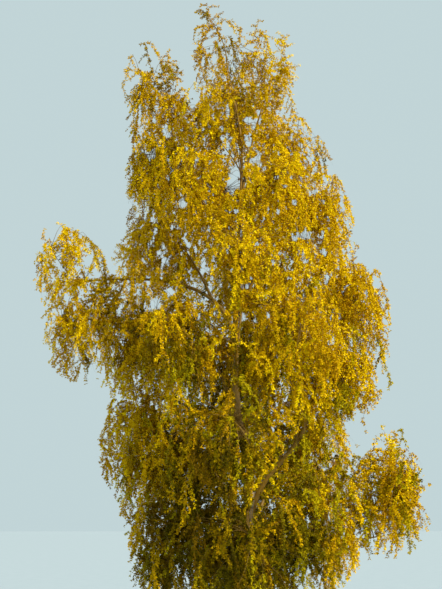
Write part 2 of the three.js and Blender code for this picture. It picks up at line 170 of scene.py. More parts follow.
MASSES = (
    MassPlan("crown_top", (-0.93, -0.04, 18.93), (0.68, 0.72, 1.13), leader=True, airy=0.6),
    MassPlan("crown_top_right", (0.16, 0.15, 18.45), (0.60, 0.70, 1.12), 16.9, airy=0.62),
    MassPlan("upper_right_plume", (0.92, -0.14, 17.65), (0.68, 0.92, 1.46), 14.15, 0.040, -0.45,
             airy=0.4),
    MassPlan("upper_left_spire", (-2.62, -0.10, 17.45), (0.88, 0.92, 1.48), 13.0, 0.048, -0.5,
             route=Route.SWEEPING, full=1.3, airy=0.9,
             shoots=((-2.74, 18.78), (-3.40, 17.95), (-2.25, 18.50), (-1.86, 18.1))),
    MassPlan("upper_left_inner", (-1.50, 0.33, 16.65), (0.86, 0.97, 1.18), 15.0, full=1.2, airy=0.4),
    MassPlan("upper_back", (-0.25, 1.23, 16.70), (1.13, 0.97, 1.46), 14.8),
    MassPlan("upper_front", (-0.47, -1.13, 16.55), (1.03, 0.92, 1.40), 14.7),
    MassPlan("left_shoulder", (-2.45, 0.19, 15.05), (0.92, 1.21, 1.58), thick=0.030,
             on="upper_left_spire", up=0.36, full=1.7,
             shoots=((-2.80, 16.50), (-2.50, 16.62), (-2.28, 16.35), (-3.00, 16.15))),
    MassPlan("right_shoulder_high", (1.05, 0.40, 15.35), (1.24, 1.26, 1.40), 13.5),
    MassPlan("front_left_high", (-1.26, -1.43, 14.40), (1.21, 1.09, 1.46), 12.05, 0.044,
             shoots=((-0.50, 13.40), (-0.30, 13.15))),
    MassPlan("front_right_high", (0.76, -1.47, 14.20), (1.26, 1.15, 1.46), 11.65, 0.046, full=1.1,
             shoots=((-0.20, 13.35), (-0.55, 13.45))),
    MassPlan("back_high", (-0.76, 1.80, 14.40), (1.61, 1.21, 1.51), 11.8, 0.046,
             shoots=((-0.50, 13.35), (-0.25, 13.60), (-0.65, 13.20))),
    MassPlan("right_edge", (1.92, -0.09, 13.50), (1.03, 1.49, 1.46), 10.7, 0.056, full=1.35,
             shoots=((1.45, 11.95), (1.62, 12.80), (1.72, 12.45))),
    MassPlan("left_arm_upper", (-4.96, -0.10, 12.48), (1.06, 1.18, 1.16), 10.2, 0.068, -0.5,
             route=Route.REACHING, full=0.88,
             shoots=((-5.75, 13.12), (-4.60, 11.80), (-5.55, 11.65), (-4.75, 11.50), (-5.30, 11.55))),
    MassPlan("back_middle", (0.26, 2.22, 12.15), (1.90, 1.38, 1.56), 9.3, 0.058,
             shoots=((1.30, 12.00), (1.55, 11.80), (0.05, 11.60))),
    MassPlan("front_middle", (-0.16, -2.14, 12.05), (1.55, 1.21, 1.51), 9.2, 0.058,
             shoots=((-0.10, 11.45), (0.22, 11.60))),
    MassPlan("left_edge", (-2.45, -0.28, 12.65), (1.08, 1.38, 1.40), thick=0.044,
             on="left_arm_upper", up=0.28, full=1.15),
    MassPlan("left_arm_lower", (-4.65, 0.14, 10.45), (1.08, 1.22, 1.33), thick=0.030,
             on="left_arm_upper", up=0.8, full=0.98,
             shoots=((-3.98, 12.00), (-4.08, 11.98), (-3.70, 12.00), (-3.80, 11.98), (-3.35, 12.04),
                     (-3.50, 12.00), (-3.75, 11.60), (-4.45, 11.85), (-4.30, 11.55), (-3.62, 11.15))),
    MassPlan("left_inner", (-2.92, -0.24, 10.20), (1.04, 1.44, 1.46), 7.6, 0.060, full=1.25),
    MassPlan("right_shoulder", (2.78, 0.24, 11.25), (1.29, 1.61, 1.46), 4.9, 0.092, -0.3,
             route=Route.WINDING, full=1.35, shoots=((1.40, 11.85), (1.22, 11.75))),
    MassPlan("front_left_middle", (-1.66, -2.25, 9.85), (1.49, 1.26, 1.46), 7.2, 0.060, full=1.25,
             shoots=((-2.30, 8.75), (-1.20, 8.60), (-0.90, 8.75))),
    MassPlan("front_right_middle", (1.15, -2.20, 10.00), (1.55, 1.32, 1.56), 6.9, 0.064, full=1.2,
             shoots=((0.65, 8.75), (0.95, 8.60), (0.40, 8.9))),
    MassPlan("back_low_middle", (-0.20, 2.51, 9.50), (1.78, 1.44, 1.61), 6.7, 0.066, full=1.25,
             shoots=((0.80, 8.70), (-1.25, 8.50))),
    MassPlan("right_middle", (2.50, -0.23, 8.95), (1.55, 1.49, 1.30), thick=0.044,
             on="right_shoulder", up=0.45, full=1.3),
    MassPlan("left_low", (-2.66, 0.00, 7.30), (1.44, 1.61, 1.66), 5.0, 0.072, full=1.15),
    MassPlan("back_left_low", (-1.80, 2.39, 6.85), (1.55, 1.44, 1.66), 4.6, 0.068, full=1.15),
    MassPlan("front_low", (-0.34, -2.43, 7.30), (1.72, 1.32, 1.61), 4.8, 0.070, full=1.3),
    MassPlan("back_right_low", (1.62, 2.25, 6.95), (1.48, 1.49, 1.72), 4.4, 0.070, full=1.2),
    MassPlan("low_right_arm", (3.98, 0.00, 5.95), (1.26, 1.32, 1.72), 3.8, 0.078, -0.7,
             route=Route.ARCHING, full=1.7),
    MassPlan("low_right_inner", (1.79, -0.84, 5.05), (1.26, 1.67, 1.90), 3.1, 0.060, full=1.2),
    MassPlan("low_left", (-1.77, -0.81, 4.55), (1.49, 1.67, 1.90), 3.25, 0.062, full=1.25),
    MassPlan("low_back", (-0.02, 2.16, 4.30), (1.78, 1.49, 1.66), 2.9, 0.062, full=1.25),
    MassPlan("low_front", (0.06, -2.05, 4.35), (1.55, 1.20, 1.75), 3.0, full=1.3),
)


def unit(vectors: Array) -> Array:
    """Each vector of an array at length one; one with no length stays as it is."""
    return vectors / np.maximum(np.linalg.norm(vectors, axis=-1, keepdims=True), 1e-9)


def fraction(values: Array) -> Array:
    """What each value has beyond the whole number below it."""
    return values - np.floor(values)


def ease(low: float, high: float, values: Array) -> Array:
    """Rises smoothly from 0 where values are at low to 1 where they are at high."""
    share = np.clip((values - low) / (high - low), 0.0, 1.0)
    return share * share * (3 - 2 * share)


def bent(starts: Array, bends: Array, ends: Array, shares: Array) -> Array:
    """The points at shares of curves that leave their starts towards their bends."""
    return starts * (1 - shares) ** 2 + bends * 2 * shares * (1 - shares) + ends * shares**2


def tapered(ends: tuple[float, float], shares: Array, power: float) -> Array:
    """The radii at shares of a tube's length that thins from one radius to another."""
    return ends[0] + (ends[1] - ends[0]) * shares**power


def turned(beside: Array, along: Array, turn: Array) -> Array:
    """The ways beside a twig, turned round the ways along it."""
    return beside * np.cos(turn)[..., None] + np.cross(beside, along) * np.sin(turn)[..., None]


def points_on(paths: Array, shares: Array) -> tuple[Array, Array]:
    """Finds places along paths that are lists of points.

    Args:
        paths: The points of each path.
        shares: The shares of each path's list at which the places lie.

    Returns:
        The places, and the ways that the paths run there.
    """
    rings = paths.shape[1]
    ring = np.minimum(rings - 2, (shares * (rings - 1)).astype(int))
    beyond = (shares * (rings - 1) - ring)[..., None]
    rows = np.arange(len(paths))[:, None]
    here, there = paths[rows, ring], paths[rows, ring + 1]
    return here * (1 - beyond) + there * beyond, unit(there - here)


def smooth_noise(points: Array, seed: float = 0.0) -> Array:
    """Smooth, repeatable noise.

    Args:
        points: Places, in cells of the noise.
        seed: Shifts the noise to another pattern.

    Returns:
        One value from -1 to 1 for each place.
    """
    cell = np.floor(points)
    share = points - cell
    share = share * share * (3 - 2 * share)
    total = np.zeros(points.shape[:-1])
    for corner in product((0.0, 1.0), repeat=3):
        key = (cell + corner) @ NOISE_WAYS + seed
        weight = np.prod(np.where(np.array(corner) > 0, share, 1 - share), axis=-1)
        total += weight * (2 * fraction(np.sin(key) * NOISE_SPREAD) - 1)
    return total


@dataclass(frozen=True)
class Oval:
    """An oval in the plane of the trunk, as it is seen from the front."""

    side: float
    height: float
    wide: float
    tall: float

    def away(self, side: Array, height: Array) -> tuple[Array, Array]:
        """How far places lie aside of its middle and above it, in its half sizes."""
        return (side - self.side) / self.wide, (height - self.height) / self.tall


@dataclass(frozen=True)
class Sky:
    """The gaps in the crown and the limbs that show, as they are seen from the viewpoint."""

    viewpoint: tuple[float, float, float] = (-0.7, -45.0, 5.2)
    gaps: dict[str, Oval] = field(default_factory=lambda: {
        "beside_leader": Oval(-0.33, 14.85, 0.15, 0.42),
        "left_of_leader_tip": Oval(-0.50, 16.90, 0.09, 0.34),
        "right_of_leader_tip": Oval(0.00, 16.53, 0.17, 0.12),
        "left_bough_window": Oval(-1.78, 14.07, 0.14, 0.13),
        "shoulder_speck": Oval(-2.53, 13.33, 0.07, 0.12),
        "fork_left": Oval(-1.43, 12.79, 0.065, 0.18),
        "fork_middle": Oval(-1.22, 12.45, 0.095, 0.21),
        "fork_right": Oval(-0.93, 12.59, 0.075, 0.18),
        "fork_low_right": Oval(-0.95, 12.02, 0.08, 0.12),
        "fork_low_left": Oval(-1.43, 11.82, 0.11, 0.12),
        "under_fork": Oval(-1.18, 11.40, 0.10, 0.10),
        "left_of_fork": Oval(-2.17, 11.65, 0.11, 0.17),
        "under_left_shoulder": Oval(-2.56, 11.26, 0.17, 0.22),
        "beside_left_arm_top": Oval(-3.88, 12.85, 0.19, 0.36),
        "beside_left_arm": Oval(-3.76, 12.33, 0.18, 0.27),
        "left_arm_window": Oval(-5.26, 12.42, 0.14, 0.34),
        "left_arm_speck": Oval(-4.44, 12.11, 0.08, 0.10),
        "right_shoulder_slit": Oval(1.64, 13.22, 0.17, 0.13),
        "right_shoulder_speck": Oval(2.20, 12.73, 0.13, 0.16),
        "under_right_side": Oval(3.10, 7.73, 0.30, 0.50),
        "over_right_arm": Oval(3.60, 7.95, 0.36, 0.36),
        "middle_speck_left": Oval(-0.08, 10.92, 0.08, 0.12),
        "middle_speck": Oval(0.26, 10.80, 0.06, 0.11),
        "middle_speck_right": Oval(0.62, 10.93, 0.07, 0.12),
        "left_of_top": Oval(-1.72, 18.45, 0.22, 0.75),
        "under_right_plume": Oval(1.55, 17.35, 0.20, 0.42),
        "between_arm_and_skirt": Oval(-4.28, 9.00, 0.24, 0.48),
        "beyond_low_arm": Oval(5.38, 6.40, 0.38, 1.20),
        "over_arm_end": Oval(5.05, 7.15, 0.36, 0.70),
    })
    gap_edge: float = 0.9  # where a gap's edge lies, in the half sizes of its oval
    raggedness: float = 0.5  # how far the edge strays
    bared: dict[str, tuple[tuple[float, float], ...]] = field(default_factory=lambda: {
        "trunk_under_leader": ((-0.13, 14.6), (-0.14, 16.1), (-0.30, 17.0)),
        "trunk_in_middle": ((-0.27, 8.9), (-0.23, 8.2), (-0.12, 7.6)),
        "left_arm": ((-0.92, 11.40), (-1.31, 11.65), (-1.70, 11.84)),
        "left_fork": ((-0.92, 11.40), (-1.22, 12.02), (-1.45, 12.42), (-1.66, 12.80)),
        "winding_bough": (
            (0.07, 5.15), (0.16, 5.58), (0.35, 6.08), (0.59, 6.46), (0.87, 6.77), (1.43, 7.45), (1.67, 7.95),
        ),
    })
    bared_width: float = 0.085  # to each side of a limb that shows
    bared_raggedness: float = 0.8
    bared_depth: float = -0.12  # leaves in front of this are held back there
    speck_size: tuple[float, float] = (0.13, 0.24)  # side and height of one cell of the specks' noise
    speck_seeds: tuple[float, float] = (11.0, 5.0)  # of the noise and of the finer noise
    finer_cells: float = 2.7  # in one cell of the noise
    finer_share: float = 0.4  # how much the finer noise adds
    speck_level: float = 0.57  # above this level of the noise the sky shows
    specks_from: tuple[float, float] = (8.5, 12.5)  # no specks below, all of them above
    specks_to: tuple[float, float] = (17.6, 16.6)  # no specks above, all of them below

    def seen(self, points: Array) -> tuple[Array, Array, Array]:
        """Where points are seen in the plane of the trunk, and the noise of the specks there.

        Args:
            points: Places in the tree.

        Returns:
            How far aside and how high each place is seen, and its noise from -1 to 1.
        """
        eye = np.array(self.viewpoint)
        scale = eye[1] / (eye[1] - points[..., 1])
        side = eye[0] + (points[..., 0] - eye[0]) * scale
        height = eye[2] + (points[..., 2] - eye[2]) * scale
        wide, tall = self.speck_size
        cells = np.stack([side / wide, height / tall, 0 * side], axis=-1)
        coarse, fine = self.speck_seeds
        finer = self.finer_share * smooth_noise(cells * self.finer_cells, fine)
        return side, height, smooth_noise(cells, coarse) + finer

    def in_gap(self, points: Array, wider_than: float = 0.0) -> Flags:
        """Tells which points would stand in one of the gaps that are wider than a limit.

        Args:
            points: Places in the tree.
            wider_than: The limit.

        Returns:
            Whether each would.
        """
        side, height, ragged = self.seen(points)
        hidden = np.zeros(side.shape, bool)
        for gap in (gap for gap in self.gaps.values() if gap.wide > wider_than):
            hidden |= np.hypot(*gap.away(side, height)) < self.gap_edge + self.raggedness * ragged
        return hidden

    def bares(self, points: Array) -> Flags:
        """Tells which points would hide one of the limbs that show.

        Args:
            points: Places in the tree.

        Returns:
            Whether each would.
        """
        side, height, ragged = self.seen(points)
        place = np.stack([side, height], axis=-1)
        nearest = np.full(side.shape, np.inf)
        for line in self.bared.values():
            for start, end in zip(np.array(line), np.array(line)[1:]):
                way = end - start
                share = np.clip((place - start) @ way / (way @ way), 0, 1)
                away = np.linalg.norm(place - start - share[..., None] * way, axis=-1)
                nearest = np.minimum(nearest, away)
        wide = self.bared_width * (1 + self.bared_raggedness * ragged)
        return (nearest < wide) & (points[..., 1] < self.bared_depth)

    def in_speck(self, points: Array) -> Flags:
        """Tells which points would stand in one of the small specks of sky.

        Args:
            points: Places in the tree.

        Returns:
            Whether each would.
        """
        _, height, ragged = self.seen(points)
        strength = ease(*self.specks_from, height) * ease(*self.specks_to, height)
        return ragged * strength > self.speck_level


@dataclass(frozen=True)
class Curve:
    """A curve through space that three or four guide points set."""

    soundings = 201  # the places at which its length is taken

    guides: Array

    def raw(self, steps: Array) -> Array:
        """The points of the curve at its own steps from 0 to 1.

        Args:
            steps: The steps.

        Returns:
            One point for each step.
        """
        last = len(self.guides) - 1
        weights = [math.comb(last, k) * steps**k * (1 - steps) ** (last - k) for k in range(last + 1)]
        return np.stack(weights, axis=-1) @ self.guides

    def at(self, shares: Array | float) -> Array:
        """The points at shares of the curve's length.

        Args:
            shares: The shares.

        Returns:
            One point for each share.
        """
        steps = np.linspace(0, 1, self.soundings)
        lengths = np.linalg.norm(np.diff(self.raw(steps), axis=0), axis=1)
        passed = np.concatenate([[0.0], np.cumsum(lengths)])
        return self.raw(np.interp(np.asarray(shares) * passed[-1], passed, steps))

    def end_way(self) -> Array:
        """The way that the curve runs at its end."""
        return unit(self.guides[-1] - self.guides[-2])


class Space:
    """The space that a mass keeps to: an ellipsoid, cut flat where a neighbour's space begins."""

    grazing = 1e-6  # a way that faces a wall less than this never meets it

    def __init__(self, plan: MassPlan) -> None:
        """Sets the bare ellipsoid of a plan.

        Args:
            plan: The mass's plan.
        """
        self.middle = np.array(plan.at)
        self.half = np.array(plan.half)
        self.wall_ways = np.zeros((0, 3))
        self.wall_limits = np.zeros(0)

    def radius_along(self, ways: Array) -> Array:
        """How far the bare ellipsoid reaches from its middle along each way."""
        return 1 / np.linalg.norm(ways / self.half, axis=-1)

    def reach_along(self, ways: Array) -> Array:
        """How far the space reaches along each way once its walls stand.

        Args:
            ways: The ways from its middle.

        Returns:
            One distance for each way.
        """
        facing = ways @ self.wall_ways.T
        limits = self.wall_limits / np.maximum(facing, self.grazing)
        limits = np.where(facing > self.grazing, limits, np.inf)
        return np.minimum(self.radius_along(ways), limits.min(axis=-1, initial=np.inf))

    def wall_towards(self, other: "Space") -> None:
        """Puts a wall towards another space if the two would meet.

        Args:
            other: The other space.
        """
        between = other.middle - self.middle
        distance = float(np.linalg.norm(between))
        way = between / distance
        mine, theirs = float(self.radius_along(way)), float(other.radius_along(way))
        if mine + theirs < distance - 2 * FREE_GAP:
            return
        self.wall_ways = np.vstack([self.wall_ways, way])
        limit = distance * mine / (mine + theirs) - FREE_GAP
        self.wall_limits = np.append(self.wall_limits, limit)


class Hull:
    """The whole crown's reach: the spaces of the masses, drawn together where they lie close."""

    closeness = 1.15  # how quickly a space stops counting away from its surface
    mingling = 0.5  # how far into its neighbours' room a mass sends twigs
    shortest, longest, soundings = 0.1, 1.5, 36  # shares of a space's own reach that are tried
    past_box = 0.03

    def __init__(self, spaces: Sequence[Space]) -> None:
        """Gathers the spaces' ellipsoids.

        Args:
            spaces: The spaces of all masses, in their order.
        """
        self.middles = np.array([space.middle for space in spaces])
        self.halves = np.array([space.half for space in spaces])
        self.low, self.high = np.array(CAD_BOX[0]) - self.past_box, np.array(CAD_BOX[1]) + self.past_box

    def depths(self, points: Array) -> Array:
        """How far each point lies from each space's middle, squared, where its surface is at 1."""
        away = (points[..., None, :] - self.middles) / self.halves
        return np.sum(away * away, axis=-1)

    def fills(self, depths: Array) -> Flags:
        """Tells from its depths which points lie in the crown."""
        return np.exp(-self.closeness * (depths - 1)).sum(axis=-1) > 1

    def holds(self, points: Array) -> Flags:
        """Tells which points lie in the crown and in the frame's box."""
        boxed = np.all((points > self.low) & (points < self.high), axis=-1)
        return boxed & self.fills(self.depths(points))

    def reach_along(self, number: int, space: Space, ways: Array) -> Array:
        """How far a mass may send its twigs.

        Args:
            number: The mass's place in the list.
            space: Its space.
            ways: The ways of the twigs.

        Returns:
            The distance from the space's middle for each way.
        """
        steps = np.linspace(self.shortest, self.longest, self.soundings)
        bare = space.radius_along(ways)[:, None] * steps
        depths = self.depths(space.middle + ways[:, None] * bare[..., None])
        others = np.delete(depths, number, axis=-1).min(axis=-1)
        may = self.fills(depths) & (depths[..., number] <= others + self.mingling)
        last = np.logical_and.accumulate(may, axis=1).sum(axis=1)
        return bare[np.arange(len(ways)), np.maximum(last - 1, 0)]


def spread_ways(seed: int, count: int, outward: Array) -> Array:
    """The ways from a space's middle to its twigs: outwards, up, down and then an even spread.

    Args:
        seed: The number of the mass.
        count: How many twigs there are.
        outward: The level way out to the mass.

    Returns:
        One unit vector for each twig.
    """
    numbers = np.arange(count)
    steps = zip(EVEN_STEPS, MASS_STEPS)
    level, turn = (fraction(0.5 + step * numbers + shift * seed) for step, shift in steps)
    level, turn = 1 - 2 * level, 2 * math.pi * turn
    flat = np.sqrt(1 - level * level)
    ways = np.stack([flat * np.cos(turn), flat * np.sin(turn), level], axis=-1)
    for k, (out, up) in enumerate(LEADS):
        ways[k] = unit(outward * out + UP * up)
    return ways


def rise_of(ways: Array) -> Array:
    """How much each way rises: 0 when it is level or falls, 1 when it is upright."""
    return np.maximum(0.0, ways[:, 2:]) ** RISE_POWER


def hang_of(ways: Array) -> Array:
    """The way that each spray hangs: down at the sides and foot, outwards or up near the top.

    Args:
        ways: The ways from the middle of the space to the sprays.

    Returns:
        One way for each.
    """
    rise = rise_of(ways)
    upward = (1 + HANG_DOWN) * rise - HANG_DOWN
    return unit(np.concatenate([ways[:, :2] * (HANG_OUT + rise), upward], axis=1))


@dataclass(frozen=True)
class MeshParts:
    """Corners, with faces in groups of like size."""

    corners: Array
    faces: tuple[Numbers, ...]

    @staticmethod
    def joined(parts: Sequence["MeshParts"]) -> "MeshParts":
        """One set of corners and faces for several.

        Args:
            parts: The several sets.

        Returns:
            The one set.
        """
        starts = np.cumsum([0] + [len(part.corners) for part in parts])
        groups: dict[int, list[Numbers]] = {}
        for part, start in zip(parts, starts):
            for faces in part.faces:
                groups.setdefault(faces.shape[1], []).append(faces + start)
        joined = tuple(np.concatenate(group) for group in groups.values())
        return MeshParts(np.concatenate([part.corners for part in parts]), joined)

    def triangles(self) -> int:
        """How many triangles the faces make."""
        return sum(len(group) * (group.shape[1] - 2) for group in self.faces)

    def mesh(self, name: str, smooth: bool) -> bpy.types.Mesh:
        """Makes a mesh of the corners and faces.

        Args:
            name: The mesh's name.
            smooth: Whether its faces are shaded smooth.

        Returns:
            The mesh.
        """
        if self.triangles() >= PIECE_LIMIT:
            raise ValueError(f"{name} has {self.triangles()} triangles")
        mesh = bpy.data.meshes.new(name)
        sizes = np.concatenate([np.full(len(group), group.shape[1]) for group in self.faces])
        loops = np.concatenate([group.ravel() for group in self.faces])
        mesh.vertices.add(len(self.corners))
        mesh.vertices.foreach_set("co", self.corners.astype(np.float32).ravel())
        mesh.loops.add(len(loops))
        mesh.loops.foreach_set("vertex_index", loops.astype(np.int32))
        mesh.polygons.add(len(sizes))
        starts = np.concatenate([[0], np.cumsum(sizes)[:-1]])
        mesh.polygons.foreach_set("loop_start", starts.astype(np.int32))
        mesh.polygons.foreach_set("use_smooth", np.full(len(sizes), smooth))
        mesh.update(calc_edges=True)
        mesh.validate()
        return mesh


def tubes(paths: Array, radii: Array, sides: int, pointed: bool = False) -> MeshParts:
    """Closed round tubes along paths.

    Args:
        paths: The middle points of each tube's rings, as tubes by rings by three.
        radii: The radius at each ring, or at each corner of each ring.
        sides: The corners of a ring.
        pointed: Whether each tube ends in a point instead of its last ring.

    Returns:
        The corners, with the sides' and the ends' faces.
    """
    count, rings = paths.shape[:2]
    along = unit(np.gradient(paths, axis=1))
    axis = np.eye(3)[np.argmin(np.abs(along[:, 0]), axis=1)]
    across = np.empty_like(paths)
    carried = np.cross(along[:, 0], axis)
    for ring in range(rings):
        lean = np.sum(carried * along[:, ring], axis=1, keepdims=True)
        carried = unit(carried - lean * along[:, ring])
        across[:, ring] = carried
    beside = np.cross(along, across)
    turns = np.arange(sides) * 2 * math.pi / sides
    spokes = across[:, :, None] * np.cos(turns)[:, None] + beside[:, :, None] * np.sin(turns)[:, None]
    reach = radii[..., None] if radii.ndim == 2 else radii
    corners = paths[:, :, None] + spokes * np.broadcast_to(reach, (count, rings, sides))[..., None]
    if pointed:
        walls = corners[:, :-1].reshape(count, -1, 3)
        corners = np.concatenate([walls, paths[:, -1:]], axis=1)
    return MeshParts(corners.reshape(-1, 3), ring_faces(count, rings, sides, pointed))


def ring_faces(count: int, rings: int, sides: int, pointed: bool = False) -> tuple[Numbers, ...]:
    """The faces of closed tubes whose corners are in order.

    Args:
        count: How many tubes there are.
        rings: The rings of each tube.
        sides: The corners of each ring.
        pointed: Whether the last ring of each tube is a single corner.

    Returns:
        The walls as quads, the roots, and the tips as flat ends or as the triangles of a point.
    """
    corners = (rings - 1) * sides + (1 if pointed else sides)
    first = np.arange(count)[:, None, None] * corners
    low = first + np.arange(rings - (2 if pointed else 1))[:, None] * sides
    here, there = np.arange(sides), (np.arange(sides) + 1) % sides
    quads = np.stack([low + here, low + there, low + sides + there, low + sides + here], axis=-1)
    root = first[:, 0] + here[::-1]
    if not pointed:
        return quads.reshape(-1, 4), np.concatenate([root, first[:, 0] + (rings - 1) * sides + here])
    ring = first + (rings - 2) * sides
    cone = np.stack([ring + here, ring + there, np.broadcast_to(ring + sides, (count, 1, sides))], axis=-1)
    return quads.reshape(-1, 4), root, cone.reshape(-1, 3)


@dataclass(frozen=True)
class TrunkForm:
    """The trunk: its taper, its root flare and the slight bends of its middle line."""

    height: float = 18.25
    root_radius: float = 0.172
    tip_radius: float = 0.014
    taper: float = 1.1
    flare: float = 0.15
    flare_height: float = 0.34
    lobes: int = 5
    lobe_depth: float = 0.14
    bends: tuple[tuple[float, float, float], ...] = (
        (0.0, 0.0, 0.0),
        (3.4, 0.01, 0.06),
        (6.6, 0.09, 0.12),
        (8.6, -0.26, 0.06),
        (11.5, -0.29, -0.08),
        (14.6, -0.13, 0.02),
        (16.1, -0.14, 0.06),
        (18.25, -0.54, 0.0),
    )

    def middle(self, heights: Array | float) -> Array:
        """The points of the middle line: a cubic through the bends, sloped as their neighbours are.

        Args:
            heights: The heights of the points.

        Returns:
            One point for each height.
        """
        heights = np.asarray(heights, float)
        knots = np.array(self.bends)
        low = knots[np.maximum(np.arange(len(knots)) - 1, 0)]
        high = knots[np.minimum(np.arange(len(knots)) + 1, len(knots) - 1)]
        slopes = (high - low)[:, 1:] / (high - low)[:, :1]
        slopes[0] = 0
        i = np.searchsorted(knots[1:-1, 0], heights)
        span = (knots[i + 1, 0] - knots[i, 0])[..., None]
        t = (heights[..., None] - knots[i, :1]) / span
        ends = knots[i, 1:] * (2 * t**3 - 3 * t**2 + 1) + knots[i + 1, 1:] * (3 * t**2 - 2 * t**3)
        flat = ends + span * (slopes[i] * (t**3 - 2 * t**2 + t) + slopes[i + 1] * (t**3 - t**2))
        return np.concatenate([flat, heights[..., None]], axis=-1)

    def radius(self, heights: Array, angles: Array | float = 0.0) -> Array:
        """The radius at heights, and at angles round the trunk where the root lobes swell.

        Args:
            heights: The heights.
            angles: The angles.

        Returns:
            One radius for each.
        """
        straight = self.tip_radius + (self.root_radius - self.tip_radius) * (
            np.maximum(0, 1 - heights / self.height) ** self.taper
        )
        near = np.exp(-heights / self.flare_height)
        lobed = 1 + self.lobe_depth * near * np.cos(self.lobes * angles)
        return (straight + self.flare * near) * lobed


class Bough:
    """One tapering limb from the trunk, or from another bough, into its mass."""

    tip_radius = 0.019

    def __init__(self, plan: MassPlan, space: Space, root: Array) -> None:
        """Routes the bough from its root into the near side of its space.

        Args:
            plan: Its mass's plan.
            space: Its mass's space.
            root: Where it starts.
        """
        self.plan = plan
        span = entry_of(plan, space, root) - root
        guides = [root + span * [out, out, up] for out, up in plan.route.value]
        self.curve = Curve(np.array([root, *guides, root + span]))

    def radii(self, shares: Array) -> Array:
        """The bough's radius at shares of its length."""
        return self.plan.thick + (self.tip_radius - self.plan.thick) * shares


def outward_of(space: Space, root: Array) -> Array:
    """The level way from a root out to the middle of a space."""
    return unit((space.middle - root) * [1, 1, 0])


def entry_of(plan: MassPlan, space: Space, root: Array) -> Array:
    """Where a bough enters its mass: on the near side of its space.

    Args:
        plan: The mass's plan.
        space: Its space.
        root: Where the bough starts.

    Returns:
        The place.
    """
    outward = outward_of(space, root)
    inset = ENTRY_INSET * space.reach_along(-outward)
    return space.middle - outward * inset + UP * (plan.enter * space.half[2])


@dataclass(frozen=True)
class Limbs:
    """The straight lengths of the trunk and boughs, which leaves have to stay clear of."""

    beyond = 0.3  # limbs further from all the points than this aren't looked at

    starts: Array
    ends: Array
    radii: Array

    def clear_of(self, points: Array, gap: float) -> Flags:
        """Tells which points stand off every limb by more than a gap.

        Args:
            points: Places in the tree.
            gap: The gap.

        Returns:
            Whether each does.
        """
        clear = np.ones(points.shape[:-1], bool)
        low = points.reshape(-1, 3).min(axis=0) - self.beyond
        high = points.reshape(-1, 3).max(axis=0) + self.beyond
        for a, b, radius in zip(self.starts, self.ends, self.radii):
            if np.any(np.maximum(a, b) < low) or np.any(np.minimum(a, b) > high):
                continue
            share = np.clip((points - a) @ (b - a) / ((b - a) @ (b - a)), 0, 1)
            away = np.linalg.norm(points - a - share[..., None] * (b - a), axis=-1)
            clear &= away > radius + gap
        return clear


@dataclass(frozen=True)
class Site:
    """What surrounds a mass: the spaces, the crown's reach, the limbs to clear and the gaps to leave."""

    spaces: dict[str, Space]
    hull: Hull
    limbs: Limbs
    sky: Sky


@dataclass(frozen=True)
class Wash(Oval):
    """A soft oval part of the crown that shifts the tints of its sprays: towards painted light or painted
    shade, or towards green.
    """

    shift: float

    def over(self, places: Array) -> Array:
        """How much it shifts the tint at each place."""
        aside, above = self.away(places[:, 0], places[:, 2])
        return self.shift * np.exp(-(aside**2) - above**2)


